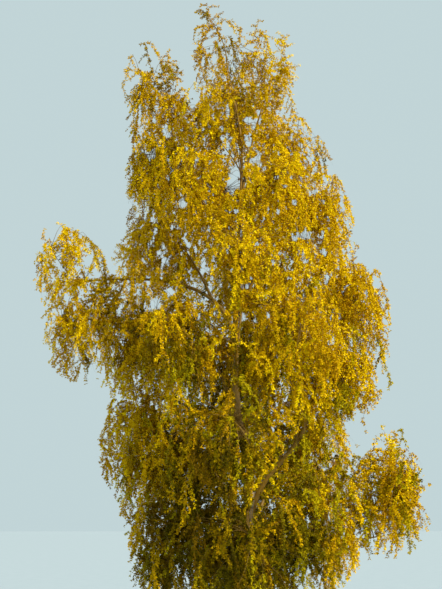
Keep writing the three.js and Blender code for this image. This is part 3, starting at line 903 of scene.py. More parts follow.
@dataclass(frozen=True)
class TintRule:
    """How sunny and how green each part of the crown is, from 0 to 1, and how the tints follow it; the sun is
    painted light and shade.
    """

    sun: float = 0.55
    painted_light_slopes: tuple[float, float, float] = (0.03, -0.012, 0.0)  # for each metre right, back and up: painted light, with tints lighter to the right where the key light falls
    # painted light and shade: each wash lightens or darkens the tints where the crown is lit or shaded
    painted_light_washes: dict[str, Wash] = field(default_factory=lambda: {
        "left_arm": Wash(-5.2, 12.0, 1.5, 2.8, 0.24),
        "left_of_trunk": Wash(-1.8, 9.6, 1.7, 2.6, -0.14),
        "low_middle": Wash(-0.4, 3.8, 2.2, 4.0, -0.52),
        "low_left_flank": Wash(-3.3, 7.9, 1.7, 1.1, 0.24),
        "over_low_middle": Wash(1.0, 7.9, 3.0, 1.1, 0.06),
        "upper_middle": Wash(0.0, 13.5, 9.0, 2.6, 0.10),
        "low_right_arm": Wash(4.4, 5.6, 1.9, 2.6, -0.12),
        "top": Wash(-0.5, 19.0, 6.0, 2.2, -0.10),
    })
    sun_patches: float = 0.16
    patch_cells: float = 0.9  # of the patches, in a metre
    patch_seeds: tuple[float, float] = (3.0, 4.0)  # of the sunny and of the green patches
    green_washes: dict[str, Wash] = field(default_factory=lambda: {
        "low_middle": Wash(0.6, 5.0, 2.1, 4.6, 0.74),
        "low_right_arm": Wash(4.4, 5.5, 2.0, 4.4, 0.6),
    })
    green_patches: float = 0.2
    green_below: tuple[float, float] = (14.0, 9.0)  # no green patches above, all of them below
    green_gain: float = 2.0  # how much more likely green tints are where all is green
    deep_shade: float = 0.1  # tints that suit less sun than this are the ones that paint deep shade
    deep_shade_below: tuple[float, float] = (14.5, 10.0)  # no painted deep shade above, all of it below
    strictness: float = 0.22  # how far a tint's sun may be from its place's

    def deal(self, places: Array, random: np.random.Generator) -> Numbers:
        """Deals each spray a tint that suits its place.

        Args:
            places: Where the sprays hang.
            random: Draws the tints.

        Returns:
            The number of each spray's tint.
        """
        suits = np.array([tint.sun for tint in LeafTint])
        weights = np.array([tint.weight for tint in LeafTint])
        greens = np.array([tint.green for tint in LeafTint])
        sun_seed, green_seed = self.patch_seeds
        # sun is painted light and shade: lighter tints where it is high, darker ones where it is low
        sun = self.sun + places @ np.array(self.painted_light_slopes)
        sun += self.sun_patches * smooth_noise(places * self.patch_cells, sun_seed)
        sun += sum(wash.over(places) for wash in self.painted_light_washes.values())
        green = self.green_patches * smooth_noise(places, green_seed) * ease(*self.green_below, places[:, 2])
        green += sum(wash.over(places) for wash in self.green_washes.values())
        chances = weights * np.exp(-(((np.clip(sun, 0, 1)[:, None] - suits) / self.strictness) ** 2))
        chances *= np.where(greens, self.green_gain * np.clip(green, 0, 1)[:, None], 1.0)
        chances *= np.where(suits < self.deep_shade, ease(*self.deep_shade_below, places[:, 2])[:, None], 1.0)
        passed = np.cumsum(chances, axis=1) / chances.sum(axis=1, keepdims=True)
        return (random.random((len(places), 1)) > passed).sum(axis=1)


@dataclass(frozen=True)
class StemHabit:
    """How the stems of the masses grow, and where stems and boughs bear sprays."""

    radii: tuple[float, float] = (0.019, 0.004)
    thinning: float = 0.8  # the power of its length that a stem thins with
    rings: int = 9
    sides: int = 6
    reach: float = 0.5  # how far out it ends, of its space's reach
    rise: float = 0.35  # how far over the middle it ends, of its space's half height
    leader_rise: float = 0.75
    bend: float = 0.45  # how far it keeps its bough's way, of its length
    bears: tuple[float, int] = (0.3, 2)  # the share from which it bears sprays, in this many lengths
    bough_bears: tuple[float, int] = (0.3, 7)
    sprays_rise: float = 0.35
    sprays_stream: float = 0.5
    shoots_start: float = 0.2  # the share of the stem where the single shoots leave it
    shoots_nearer: float = 0.4  # how much nearer to the viewer every other single shoot stands
    rising_bend: tuple[float, float, float] = (0.35, 0.35, 0.8)  # shares of a shoot's way, level and up
    hanging_bend: tuple[float, float, float] = (0.75, 0.75, 0.1)
    shoots_rise: tuple[float, float] = (0.7, 0.2)  # of the rising ones' leaves, and the hanging ones'
    shoots_stream: float = 0.5


@dataclass(frozen=True)
class TwigHabit:
    """How the twigs grow from the stems, each of which goes on as the midrib of its spray."""

    radii: tuple[float, float] = (0.0085, 0.0020)
    thinning: float = 0.7
    sides: int = 3
    bend: tuple[float, float] = (0.4, 0.1)  # back along its spray and up, of the twig's length
    starts: int = 14  # the places on the stem where twigs leave
    starts_between: tuple[float, float] = (0.12, 0.98)  # shares of the stem's length
    level_range: tuple[float, float] = (6.0, 16.0)  # the heights at which the next pairs hold
    per_m3: tuple[float, float] = (3.3, 5.2)
    leaf_length: tuple[float, float] = (0.064, 0.053)
    fewest: int = 12
    sounded: int = 300  # the ways in which a mass's room is measured
    shallowest: float = 0.08  # the depth, of the reach, at which the innermost twigs end
    crowding: float = 0.40  # the power that crowds the twigs' ends towards the outside
    inset: float = 0.98  # where the outermost twigs end, of the reach
    bare_radius: float = 0.9  # round the trunk, where some of the twigs are missing
    bare_between: tuple[tuple[float, float], ...] = ((17.0, 12.0), (7.0, 10.0))  # heights it fades at
    bare_share: float = 0.25
    airy_above: tuple[float, float] = (-0.1, 0.6)  # the rise of the ways over which a top gets airy
    spray_length: float = 1.28
    spray_sizes: tuple[float, float] = (0.35, 0.45)  # the least, and what chance adds
    full_from: float = 1.25  # the half size of a space from which its sprays are full
    shrink: float = 0.72  # for a spray that would start outside the crown
    shrinks: int = 4
    springing: float = 0.38  # the share of the twigs that spring up and outwards instead of hanging
    airy_springing: float = 0.4  # what an airy top adds to it
    springing_above: float = -0.45
    least_spring: float = 0.1
    stray: float = 0.3
    rises: tuple[float, float] = (0.6, 0.75)  # of hanging sprays, and of those that spring
    streaming: tuple[float, float] = (0.3, -0.7)  # no longer strands above, all of them below
    droop: tuple[float, float] = (0.10, 0.30)  # the least, and what chance adds
    droop_shortens: float = 0.3
    gap_crossing: int = 2  # how many of its points a twig may have in small gaps
    wide_gap: float = 0.19  # a gap wider than this keeps every twig out


@dataclass(frozen=True)
class StrandHabit:
    """How the fine strands hang from the twigs."""

    count: int = 7  # on one twig
    between: tuple[float, float] = (0.34, 0.98)  # shares of a twig's length
    shift: float = 0.06
    turn: float = 1.9
    lift: float = 0.3  # how far the sides of a twig turn up
    first: tuple[float, float] = (0.6, 0.8)  # how a strand starts: along its twig and aside
    length: float = 0.42
    shortening: tuple[float, float] = (1.25, 0.5)  # the length at the twig's root, less what its tip takes
    sizes: tuple[float, float] = (0.5, 1.6)  # the least, and the power of chance that adds to it
    streaming_gain: float = 0.7  # how much longer the strands low on a mass are
    rise_lifts: float = 0.9  # how much less strands hang on a spray that rises
    bend: float = 0.32  # where it turns down, of its length
    keeps: float = 0.5  # how much it keeps of its first way
    stray: float = 0.4
    hang: float = 0.7  # the length of the part that hangs, of its whole length
    radii: tuple[float, float] = (0.0024, 0.0010)
    rings: tuple[float, ...] = (0.0, 0.45, 1.0)  # shares of its length
    sides: int = 3
    shortest: float = 0.05  # the least share of a strand that is worth keeping
    other_tint: float = 0.35  # the chance that a strand has the tint before or after its spray's
    bare: float = 0.5  # a strand with more of its leaves than this in a gap is left out


@dataclass(frozen=True)
class LeafHabit:
    """How the leaves stand on the strands."""

    spacing: float = 0.040
    spacing_sizes: tuple[float, float] = (0.85, 0.3)  # the least, and what chance adds
    third: float = 0.6  # the chance of a third leaf beside the pair at a node
    width: float = 0.86  # of its length
    stalk: float = 0.24  # of its length
    sizes: tuple[float, float] = (0.72, 0.5)  # the least, and what chance adds
    turn: float = 1.6
    ways: tuple[float, float, float, float] = (0.8, 0.3, 0.35, 0.4)  # aside, along, down and astray
    limb_gap: float = 0.015  # between leaves and the trunk or a bough


class Kind(Enum):
    """The kinds of pieces that the crown is joined into, each with its title and a slot name that nothing
    reads.
    """

    LEAVES = ("leaves", "autumn_leaves")
    BRANCHLETS = ("branchlets", "bough_bark")
    HANGING_TWIGS = ("hanging_twigs", "bough_bark")


@dataclass
class Foliage:
    """What one mass grows: the parts of each kind, and the tints of its leaves."""

    parts: dict[Kind, list[MeshParts]] = field(default_factory=lambda: {kind: [] for kind in Kind})
    tints: list[Numbers] = field(default_factory=list)


@dataclass(frozen=True)
class Twigs:
    """The twigs of a mass: how much each rises instead of hanging, and how much longer its strands are."""

    rings = 4  # of a twig, and then of its spray's midrib, which starts where the twig ends

    paths: Array
    rise: Array
    streaming: Array

    def ribs(self) -> Array:
        """The midribs of the sprays."""
        return self.paths[:, self.rings - 1 :]


class Mass:
    """A mass of foliage that grows from its stem by the source's rule, carried to finer twigs."""

    stem_habit = StemHabit()
    twig_habit = TwigHabit()
    strand_habit = StrandHabit()
    leaf_habit = LeafHabit()
    tint_rule = TintRule()
    path_rings = 2 * Twigs.rings - 1

    def __init__(
        self, site: Site, plan: MassPlan, seed: int, root: Array, way: Array, bough: Curve | None = None
    ) -> None:
        """Draws the stem: it goes on from the bough towards the far side of the space.

        Args:
            site: What surrounds it.
            plan: The mass's plan.
            seed: Its number.
            root: Where its stem starts.
            way: The way that the stem starts.
            bough: The bough that carries it, if one does.
        """
        self.site, self.plan, self.seed, self.bough = site, plan, seed, bough
        self.space = space = site.spaces[plan.name]
        self.outward = outward_of(space, root)
        reach = self.stem_habit.reach * space.reach_along(self.outward)
        end = space.middle + self.outward * reach
        rise = self.stem_habit.leader_rise if plan.leader else self.stem_habit.rise
        end = end + UP * (rise * space.half[2])
        bend = root + way * (self.stem_habit.bend * np.linalg.norm(end - root))
        self.stem = Curve(np.array([root, bend, end]))
        self.random = np.random.default_rng(seed)
        self.grown = Foliage()

    def at_level(self, pair: tuple[float, float]) -> float:
        """What a pair of values, at the foot and at the top of the crown, comes to at the mass's height."""
        return float(np.interp(self.space.middle[2], self.twig_habit.level_range, pair))

    def grow(self) -> Foliage:
        """Grows the stem, the twigs, the strands that hang from them and the leaves.

        Returns:
            The mass's tubes and leaves.
        """
        shares = np.linspace(0, 1, self.stem_habit.rings)
        radii = tapered(self.stem_habit.radii, shares, self.stem_habit.thinning)
        self.add(Kind.BRANCHLETS, tubes(self.stem.at(shares)[None], radii[None], self.stem_habit.sides))
        self.dress(self.limb_ends())
        if self.plan.shoots:
            self.grow_twigs(self.single_shoots())
        self.grow_twigs(self.draw_twigs())
        return self.grown

    def add(self, kind: Kind, parts: MeshParts) -> None:
        """Adds what has grown."""
        self.grown.parts[kind].append(parts)

    def grow_twigs(self, twigs: Twigs) -> None:
        """Adds twigs and dresses them.

        Args:
            twigs: The twigs.
        """
        radii = tapered(self.twig_habit.radii, np.linspace(0, 1, self.path_rings), self.twig_habit.thinning)
        radii = np.tile(radii, (len(twigs.paths), 1))
        self.add(Kind.BRANCHLETS, tubes(twigs.paths, radii, self.twig_habit.sides))
        self.dress(twigs)

    def dress(self, twigs: Twigs) -> None:
        """Hangs strands of leaves on twigs and sets leaves along their sprays.

        Args:
            twigs: The twigs.
        """
        tints = self.tint_rule.deal(twigs.paths[:, -2], self.random)
        self.hang_strands(twigs, tints)
        self.leaf_ribs(twigs.ribs(), tints)

    def limb_ends(self) -> Twigs:
        """The outer parts of the bough and of the stem, which bear sprays as twigs do.

        Returns:
            These parts, as twigs.
        """
        habit = self.stem_habit
        lengths = []
        for limb, (start, parts) in ((self.stem, habit.bears), (self.bough, habit.bough_bears)):
            if limb:
                ends = np.linspace(start, 1.0, parts + 1)
                lengths += [limb.at(np.linspace(*pair, self.path_rings)) for pair in zip(ends, ends[1:])]
        every = np.ones(len(lengths))
        return Twigs(np.array(lengths), habit.sprays_rise * every, habit.sprays_stream * every)

    def single_shoots(self) -> Twigs:
        """The shoots that end where the plan says: they rise and then lean out, or arch over and hang.

        Returns:
            The shoots, as twigs.
        """
        habit = self.stem_habit
        tips = np.array([
            (side, self.space.middle[1] - habit.shoots_nearer * (k % 2), height)
            for k, (side, height) in enumerate(self.plan.shoots)
        ])
        starts = self.stem.at(np.full(len(tips), habit.shoots_start))
        rising = tips[:, 2:] > starts[:, 2:]
        bends = starts + (tips - starts) * np.where(rising, habit.rising_bend, habit.hanging_bend)
        shares = np.linspace(0, 1, self.path_rings)[None, :, None]
        paths = bent(starts[:, None], bends[:, None], tips[:, None], shares)
        rise = np.where(rising, *habit.shoots_rise)[:, 0]
        return Twigs(paths, rise, habit.shoots_stream * (1 - rise))

    def draw_twigs(self) -> Twigs:
        """Draws the twigs, each with the midrib of its spray.

        Returns:
            The twigs that have room.
        """
        habit, space = self.twig_habit, self.space
        count = self.twig_count()
        ways = spread_ways(self.seed, count, self.outward)
        springs, hangs = self.spray_ways(ways)
        hanging_rise, springing_rise = habit.rises
        rise = np.where(springs, springing_rise, hanging_rise * rise_of(ways)[:, 0])
        even = fraction(0.5 + EVEN_STEP * np.arange(count))
        depth = (habit.shallowest + (1 - habit.shallowest) * even) ** habit.crowding
        depth[: len(LEADS)] = 1.0
        reach = habit.inset * depth * self.site.hull.reach_along(self.seed - 1, space, ways)
        tips = space.middle + ways * reach[:, None]
        roots = self.spray_roots(tips, hangs)
        keep = self.thinned(ways, tips) & self.site.hull.holds(roots)
        paths = self.route(roots, tips, hangs, rise)
        keep &= self.site.hull.holds(paths[:, 1:-1]).all(axis=1)
        keep &= self.site.sky.in_gap(paths[:, 1:]).sum(axis=1) <= habit.gap_crossing
        keep &= ~self.site.sky.in_gap(paths[:, 1:], habit.wide_gap).any(axis=1)
        streaming = ease(*habit.streaming, ways[:, 2]) * (1 - springs)
        return Twigs(paths[keep], rise[keep], streaming[keep])

    def twig_count(self) -> int:
        """How many twigs the mass has: so many in each cubic metre that it can reach.

        Returns:
            Their number.
        """
        ways = spread_ways(self.seed, self.twig_habit.sounded, self.outward)
        reach = self.site.hull.reach_along(self.seed - 1, self.space, ways)
        room = float(4 / 3 * math.pi * np.mean(reach**3))
        count = round(self.plan.full * self.at_level(self.twig_habit.per_m3) * room)
        return max(self.twig_habit.fewest, count)

    def spray_ways(self, ways: Array) -> tuple[Flags, Array]:
        """Chooses the sprays that spring up and outwards, and the way that each spray runs.

        Args:
            ways: The ways from the middle of the space to the twigs' tips.

        Returns:
            Which sprays spring, and the way of each.
        """
        habit, random, count = self.twig_habit, self.random, len(ways)
        chance = habit.springing + habit.airy_springing * self.plan.airy
        springs = (random.random(count) < chance) & (ways[:, 2] > habit.springing_above)
        springs[: len(LEADS)] = False
        sprung = unit(ways * [1, 1, 0] + UP * (habit.least_spring + random.random((count, 1))))
        strayed = unit(hang_of(ways) + habit.stray * random.normal(size=(count, 3)))
        hangs = np.where(springs[:, None], sprung, strayed)
        hangs[: len(LEADS)] = hang_of(ways[: len(LEADS)])
        return springs, hangs

    def spray_roots(self, tips: Array, hangs: Array) -> Array:
        """Works out where sprays start, with shorter ones where they would start outside the crown.

        Args:
            tips: Where the sprays end.
            hangs: The ways that they run.

        Returns:
            Where each spray starts.
        """
        habit = self.twig_habit
        full = min(1.0, float(self.space.half[:2].sum()) / (2 * habit.full_from))
        least, more = habit.spray_sizes
        sizes = full * (least + more * self.random.random(len(tips)))
        sizes[: len(LEADS)] = full
        for _ in range(habit.shrinks):
            roots = tips - hangs * (sizes * habit.spray_length)[:, None]
            sizes = np.where(self.site.hull.holds(roots), sizes, sizes * habit.shrink)
        return roots

    def thinned(self, ways: Array, tips: Array) -> Flags:
        """Tells which twigs stay: some are missing close round the trunk and near an airy top.

        Args:
            ways: The ways from the middle of the space to the twigs' tips.
            tips: The twigs' tips.

        Returns:
            Whether each twig stays.
        """
        habit, count = self.twig_habit, len(tips)
        fades = [ease(*heights, tips[:, 2]) for heights in habit.bare_between]
        inner = np.linalg.norm(tips[:, :2], axis=1) < habit.bare_radius * np.prod(fades, axis=0)
        missing = inner & (self.random.random(count) < habit.bare_share)
        airy = self.plan.airy * ease(*habit.airy_above, ways[:, 2])
        return ~missing & (self.random.random(count) >= airy)

    def route(self, roots: Array, tips: Array, hangs: Array, rise: Array) -> Array:
        """Routes twigs from the stem to the roots of their sprays, and on along the sprays' midribs.

        Args:
            roots: Where the sprays start.
            tips: Where they end.
            hangs: The ways that they run.
            rise: How much each rises instead of hanging.

        Returns:
            The twigs' paths.
        """
        habit = self.twig_habit
        stem = self.stem.at(np.linspace(*habit.starts_between, habit.starts))
        starts = stem[np.linalg.norm(stem[None] - roots[:, None], axis=-1).argmin(axis=1)]
        span = np.linalg.norm(roots - starts, axis=1, keepdims=True)
        back, up = habit.bend
        bends = roots - hangs * back * span + UP * up * span
        least, more = habit.droop
        droop = (1 - rise) * (least + more * self.random.random(len(tips)))
        droop[: len(LEADS)] = 0.0
        droop = droop[:, None, None]
        t = np.linspace(0, 1, Twigs.rings)[None, :, None]
        twigs = bent(starts[:, None], bends[:, None], roots[:, None], t)
        length = np.linalg.norm(tips - roots, axis=1)[:, None, None]
        ribs = roots[:, None] + (tips - roots)[:, None] * (t - habit.droop_shortens * droop * t**2)
        ribs = ribs - UP * droop * length * t**2
        return np.concatenate([twigs, ribs[:, 1:]], axis=1)

    def hang_strands(self, twigs: Twigs, tints: Numbers) -> None:
        """Hangs strands of leaves along each twig, turned to its two sides by turns.

        Args:
            twigs: The twigs.
            tints: Each twig's tint.
        """
        habit, random = self.strand_habit, self.random
        shape = (len(twigs.paths), habit.count)
        place = np.linspace(*habit.between, habit.count)
        place = place + habit.shift * (random.random(shape) - 0.5)
        roots, along = points_on(twigs.paths, place)
        beside = unit(np.cross(along, unit(random.normal(size=(shape[0], 1, 3))) + UP * habit.lift))
        turn = (random.random(shape) - 0.5) * habit.turn + math.pi * (np.arange(habit.count) % 2)
        on, out = habit.first
        first = unit(along * on + turned(beside, along, turn) * out)
        (root_length, tip_takes), (least, power) = habit.shortening, habit.sizes
        length = habit.length * (root_length - tip_takes * place) * (least + random.random(shape) ** power)
        length = (length * (1 + habit.streaming_gain * twigs.streaming[:, None]))[..., None]
        down = -UP * (1 - habit.rise_lifts * twigs.rise)[:, None, None]
        bends = roots + first * habit.bend * length
        stray = unit(random.normal(size=(*shape, 3)))
        tips = bends + unit(down + first * habit.keeps + stray * habit.stray) * habit.hang * length
        strands = np.stack([roots, bends, tips], axis=-2).reshape(-1, 3, 3)
        swap = random.random(shape) < habit.other_tint
        other = np.clip(tints[:, None] + random.integers(-1, 2, shape), 0, len(LeafTint) - 1)
        dealt = np.where(swap, other, tints[:, None]).ravel()
        cut = self.leaf_strands(strands, length.ravel(), dealt)
        self.add_strand_tubes(strands, cut)

    def leaf_ribs(self, ribs: Array, tints: Numbers) -> None:
        """Sets leaves along the midribs of the sprays.

        Args:
            ribs: The midribs.
            tints: Each spray's tint.
        """
        middle = (ribs[:, 1] + ribs[:, 2]) / 2
        strands = np.stack([ribs[:, 0], middle * 2 - (ribs[:, 0] + ribs[:, -1]) / 2, ribs[:, -1]], axis=1)
        length = np.linalg.norm(ribs[:, -1] - ribs[:, 0], axis=1)
        self.leaf_strands(strands, length, tints)

    def leaf_strands(self, strands: Array, lengths: Array, tints: Numbers) -> Array:
        """Sets leaves in pairs along hanging twigs, up to where a twig has to stop.

        Args:
            strands: Three guide points for each hanging twig.
            lengths: How long each is.
            tints: Each one's tint.

        Returns:
            The share of each hanging twig that may stay.
        """
        habit, random = self.leaf_habit, self.random
        nodes = np.arange(math.ceil(lengths.max() / habit.spacing))
        least, more = habit.spacing_sizes
        spacing = habit.spacing * (least + more * random.random((len(strands), 1)))
        steps = (nodes + 0.5) * spacing / lengths[:, None]
        t = np.minimum(steps, 1.0)[..., None]
        start, bend, end = strands[:, None, 0], strands[:, None, 1], strands[:, None, 2]
        points = bent(start, bend, end, t)
        clear = self.site.limbs.clear_of(points, habit.limb_gap)
        inside = ~np.logical_or.accumulate(clear, axis=1)
        may = np.logical_and.accumulate(self.site.hull.holds(points) & (clear | inside), axis=1)
        stays = may & (steps <= 1)
        cut = np.where(may.all(axis=1), 1.0, np.minimum(1.0, (stays * steps).max(axis=1)))
        along = unit((bend - start) * (1 - t) + (end - bend) * t)
        open_air = self.site.sky.in_gap(points) | self.site.sky.in_speck(points) | self.site.sky.bares(points)
        bare = (stays & open_air).sum(axis=1) > self.strand_habit.bare * stays.sum(axis=1)
        cut[bare] = 0.0
        which, node = np.nonzero(stays & clear & ~open_air & ~bare[:, None])
        third = np.flatnonzero(random.random(len(which)) < habit.third)
        leaf = np.concatenate([np.arange(len(which)), np.arange(len(which)), third])
        turns = np.repeat([0.0, 1.0, 0.5], [len(which), len(which), len(third)])
        which, node = which[leaf], node[leaf]
        self.add_leaves(points[which, node], along[which, node], node * 0.5 + turns, tints[which])
        return cut

    def add_leaves(self, places: Array, along: Array, turns: Array, tints: Numbers) -> None:
        """Adds a three-cornered leaf at each place, broad at its stalk and pointed at its tip.

        Args:
            places: Where the leaves grow.
            along: The way that the twig runs there.
            turns: How many half turns round its twig each leaf stands at.
            tints: The number of each leaf's tint.
        """
        habit, random, count = self.leaf_habit, self.random, len(places)
        beside = unit(np.cross(along, ASLANT))
        turn = math.pi * turns + habit.turn * (random.random(count) - 0.5) + self.seed
        aside, on, down, stray = habit.ways
        axis = turned(beside, along, turn) * aside + along * on - UP * down
        axis = unit(axis + random.normal(size=(count, 3)) * stray)
        wide = unit(np.cross(axis, random.normal(size=(count, 3))))
        least, more = habit.sizes
        size = self.at_level(self.twig_habit.leaf_length) * (least + more * random.random((count, 1)))
        half = wide * size * habit.width / 2
        foot = places + axis * size * habit.stalk
        corners = np.stack([foot - half, foot + half, foot + axis * size], axis=1)
        faces = np.arange(count * 3).reshape(-1, 3)
        self.add(Kind.LEAVES, MeshParts(corners.reshape(-1, 3), (faces,)))
        self.grown.tints.append(tints)

    def add_strand_tubes(self, strands: Array, cut: Array) -> None:
        """Adds the hanging twigs themselves, each as far as it may stay.

        Args:
            strands: Three guide points for each.
            cut: The share of each that may stay.
        """
        habit = self.strand_habit
        keep = cut > habit.shortest
        t = (np.array(habit.rings) * cut[keep, None])[..., None]
        points = bent(*(strands[keep, k][:, None] for k in range(3)), t)
        radii = np.tile(np.linspace(*habit.radii, len(habit.rings)), (len(points), 1))
        self.add(Kind.HANGING_TWIGS, tubes(points, radii, habit.sides, pointed=True))


@dataclass(frozen=True)
class Signal:
    """An output of a shader tree that takes part in Python expressions."""

    tree: "ShaderTree"
    socket: bpy.types.NodeSocket

    def __add__(self, other: "Operand") -> "Signal":
        """The sum with another value."""
        return self.tree.math("ADD", self, other)

    def __sub__(self, other: "Operand") -> "Signal":
        """The difference to another value."""
        return self.tree.math("SUBTRACT", self, other)

    def __mul__(self, other: "Operand") -> "Signal":
        """The product with another value."""
        return self.tree.math("MULTIPLY", self, other)

    def __rsub__(self, other: float) -> "Signal":
        """A number less this value."""
        return self.tree.math("SUBTRACT", other, self)

    __radd__ = __add__
    __rmul__ = __mul__

    def rise(self, low: float, high: float) -> "Signal":
        """Rises smoothly from 0 where this value is at low to 1 where it is at high.

        Args:
            low: The low level.
            high: The high level.

        Returns:
            The risen value.
        """
        return self.tree.out(
            "ShaderNodeMapRange",
            {"interpolation_type": "SMOOTHSTEP"},
            {"Value": self, "From Min": low, "From Max": high},
        )


Operand = Signal | float
Colour = tuple[float, float, float, float]
Settings = dict[str, object] | None
Values = dict[str | int, object] | None


def linear(code: str) -> Colour:
    """The linear colour of a hex code such as #E7B016.

    Args:
        code: The hex code.

    Returns:
        Red, green, blue and an alpha of 1.
    """
    parts = [int(code[i : i + 2], 16) / 255 for i in (1, 3, 5)]
    red, green, blue = (p / 12.92 if p <= 0.04045 else ((p + 0.055) / 1.055) ** 2.4 for p in parts)
    return red, green, blue, 1.0


class ShaderTree:
    """A new material and its node tree, with one way to add a node."""

    def __init__(self, name: str) -> None:
        """Makes the material and clears its tree.

        Args:
            name: The material's name.
        """
        self.material = bpy.data.materials.new(name)
        self.material.use_nodes = True
        self.nodes = self.material.node_tree.nodes
        self.nodes.clear()

    def add(self, kind: str, settings: Settings = None, values: Values = None) -> bpy.types.Node:
        """Adds a node.

        Args:
            kind: The node's type.
            settings: Its settings, which are set first. "stops" are a ramp's places and colours.
            values: Values, colours or signals for its sockets, by name or number.

        Returns:
            The node.
        """
        node = self.nodes.new(kind)
        for key, value in (settings or {}).items():
            if key == "stops":
                ramp = node.color_ramp.elements
                for _ in range(len(value) - len(ramp)):
                    ramp.new(1.0)
                for stop, (position, colour) in zip(ramp, value):
                    stop.position, stop.color = position, colour
            else:
                setattr(node, key, value)
        for key, value in (values or {}).items():
            if isinstance(value, Signal):
                self.material.node_tree.links.new(value.socket, node.inputs[key])
            else:
                node.inputs[key].default_value = value
        return node

    def out(
        self, kind: str, settings: Settings = None, values: Values = None, output: str | int = 0
    ) -> Signal:
        """Adds a node and gives one of its outputs."""
        return Signal(self, self.add(kind, settings, values).outputs[output])

    def math(self, operation: str, first: Operand, second: Operand) -> Signal:
        """Adds a Math node for two values."""
        return self.out("ShaderNodeMath", {"operation": operation}, {0: first, 1: second})

    def blend(self, share: Operand, first: Signal | Colour, second: Signal | Colour) -> Signal:
        """Mixes two colours: the first where share is 0, the second where it is 1."""
        return self.out("ShaderNodeMix", {"data_type": "RGBA"}, {0: share, 6: first, 7: second}, 2)

    def attribute(self, name: str) -> Signal:
        """A number that the mesh keeps at its corners."""
        return self.out("ShaderNodeAttribute", {"attribute_name": name}, output="Fac")

    def noise(self, cells: tuple[float, float, float], detail: float) -> Signal:
        """Adds noise.

        Args:
            cells: Its cells in a metre along each axis.
            detail: How many finer noises are added to it.

        Returns:
            The noise's strength.
        """
        place = self.out("ShaderNodeTexCoord", output="Object")
        place = self.out("ShaderNodeVectorMath", {"operation": "MULTIPLY"}, {0: place, 1: cells})
        return self.out("ShaderNodeTexNoise", {}, {"Vector": place, "Scale": 1.0, "Detail": detail})

    def finish(self, values: Values) -> bpy.types.Material:
        """Ends the tree in a Principled shader with these values and gives the material.

        Args:
            values: Values, colours or signals for the shader's sockets.

        Returns:
            The material.
        """
        shader = self.out("ShaderNodeBsdfPrincipled", {}, values)
        self.add("ShaderNodeOutputMaterial", {}, {"Surface": shader})
        return self.material


@dataclass(frozen=True)
class PlainFinish:
    """A finish of one colour, for leaves and for twigs too thin to whiten."""

    name: str
    colour: str
    roughness: float = 0.62
    shine: float = 0.5

    def material(self) -> bpy.types.Material:
        """Makes the material.

        Returns:
            The material.
        """
        return ShaderTree(self.name).finish({
            "Base Color": linear(self.colour),
            "Roughness": self.roughness,
            "Specular IOR Level": self.shine,
        })


@dataclass(frozen=True)
class Speckle:
    """A noise over a surface: its cells in a metre, its detail, and between which levels it shows."""

    cells: tuple[float, float, float]
    detail: float
    low: float
    high: float

    def on(self, tree: ShaderTree) -> Signal:
        """Adds the noise to a tree."""
        return tree.noise(self.cells, self.detail).rise(self.low, self.high)


@dataclass(frozen=True)
class BarkFinish:
    """White birch bark: peeling bands, dark breathing pores, black furrows and branch scars."""

    name: str
    white: str = "#D9D4C6"
    cream: str = "#BFAF93"
    # golden-brown young bark, tinted yellower as painted light: the yellow light that falls through the
    # leaves
    young_and_leaf_light: str = "#A47E14"
    pore: str = "#3B3128"
    black: str = "#1F1B17"
    plate: str = "#6F675C"
    girths: tuple[float, float] = (0.08, 0.15)  # of the trunk: young bark below, white bark above; set high, so that limbs within the crown take the golden colour as painted shade and leaf light
    furrow_edges: tuple[float, float] = (0.3, 0.7)
    scar_edges: tuple[float, float] = (0.3, 0.6)
    bands: Speckle = Speckle((2.2, 2.2, 13.0), 3.0, 0.42, 0.62)
    pores: Speckle = Speckle((7.0, 7.0, 85.0), 2.0, 0.62, 0.68)
    grime: Speckle = Speckle((1.3, 1.3, 1.6), 4.0, 0.5, 0.75)
    grime_strength: float = 0.45
    flake_cells: tuple[float, float, float] = (26.0, 26.0, 40.0)
    flake_detail: float = 4.0
    pore_strengths: tuple[float, float] = (0.35, 0.5)  # on young bark, and what girth adds
    furrow_strength: float = 0.92
    scar_strength: float = 0.9
    flake_height: float = 0.25  # on smooth bark, to which furrows add
    band_height: float = 0.15
    pore_depth: float = 0.3
    bump_strength: float = 0.7
    bump_depth: float = 0.006
    roughness: tuple[float, float, float] = (0.5, 0.35, 0.12)  # of white bark, more in furrows and pores

    def material(self) -> bpy.types.Material:
        """Makes the material.

        Returns:
            The material.
        """
        tree = ShaderTree(self.name)
        girth = tree.attribute("girth").rise(*self.girths)
        furrow = tree.attribute("furrow").rise(*self.furrow_edges)
        scar = tree.attribute("scar").rise(*self.scar_edges)
        bands, pores, grime = (speckle.on(tree) for speckle in (self.bands, self.pores, self.grime))
        flakes = tree.noise(self.flake_cells, self.flake_detail)
        old = tree.blend(bands, linear(self.white), linear(self.cream))
        old = tree.blend(grime * self.grime_strength, old, linear(self.plate))
        skin = tree.blend(girth, linear(self.young_and_leaf_light), old)
        on_young, more = self.pore_strengths
        skin = tree.blend(pores * (on_young + girth * more), skin, linear(self.pore))
        cracked = tree.blend(flakes, linear(self.black), linear(self.plate))
        skin = tree.blend(furrow * self.furrow_strength, skin, cracked)
        skin = tree.blend(scar * self.scar_strength, skin, linear(self.black))
        relief = flakes * (self.flake_height + furrow) + bands * self.band_height - pores * self.pore_depth
        heights = {"Strength": self.bump_strength, "Distance": self.bump_depth, "Height": relief}
        plain, in_furrows, in_pores = self.roughness
        return tree.finish({
            "Base Color": skin,
            "Roughness": plain + furrow * in_furrows + pores * in_pores,
            "Normal": tree.out("ShaderNodeBump", {}, heights),
        })


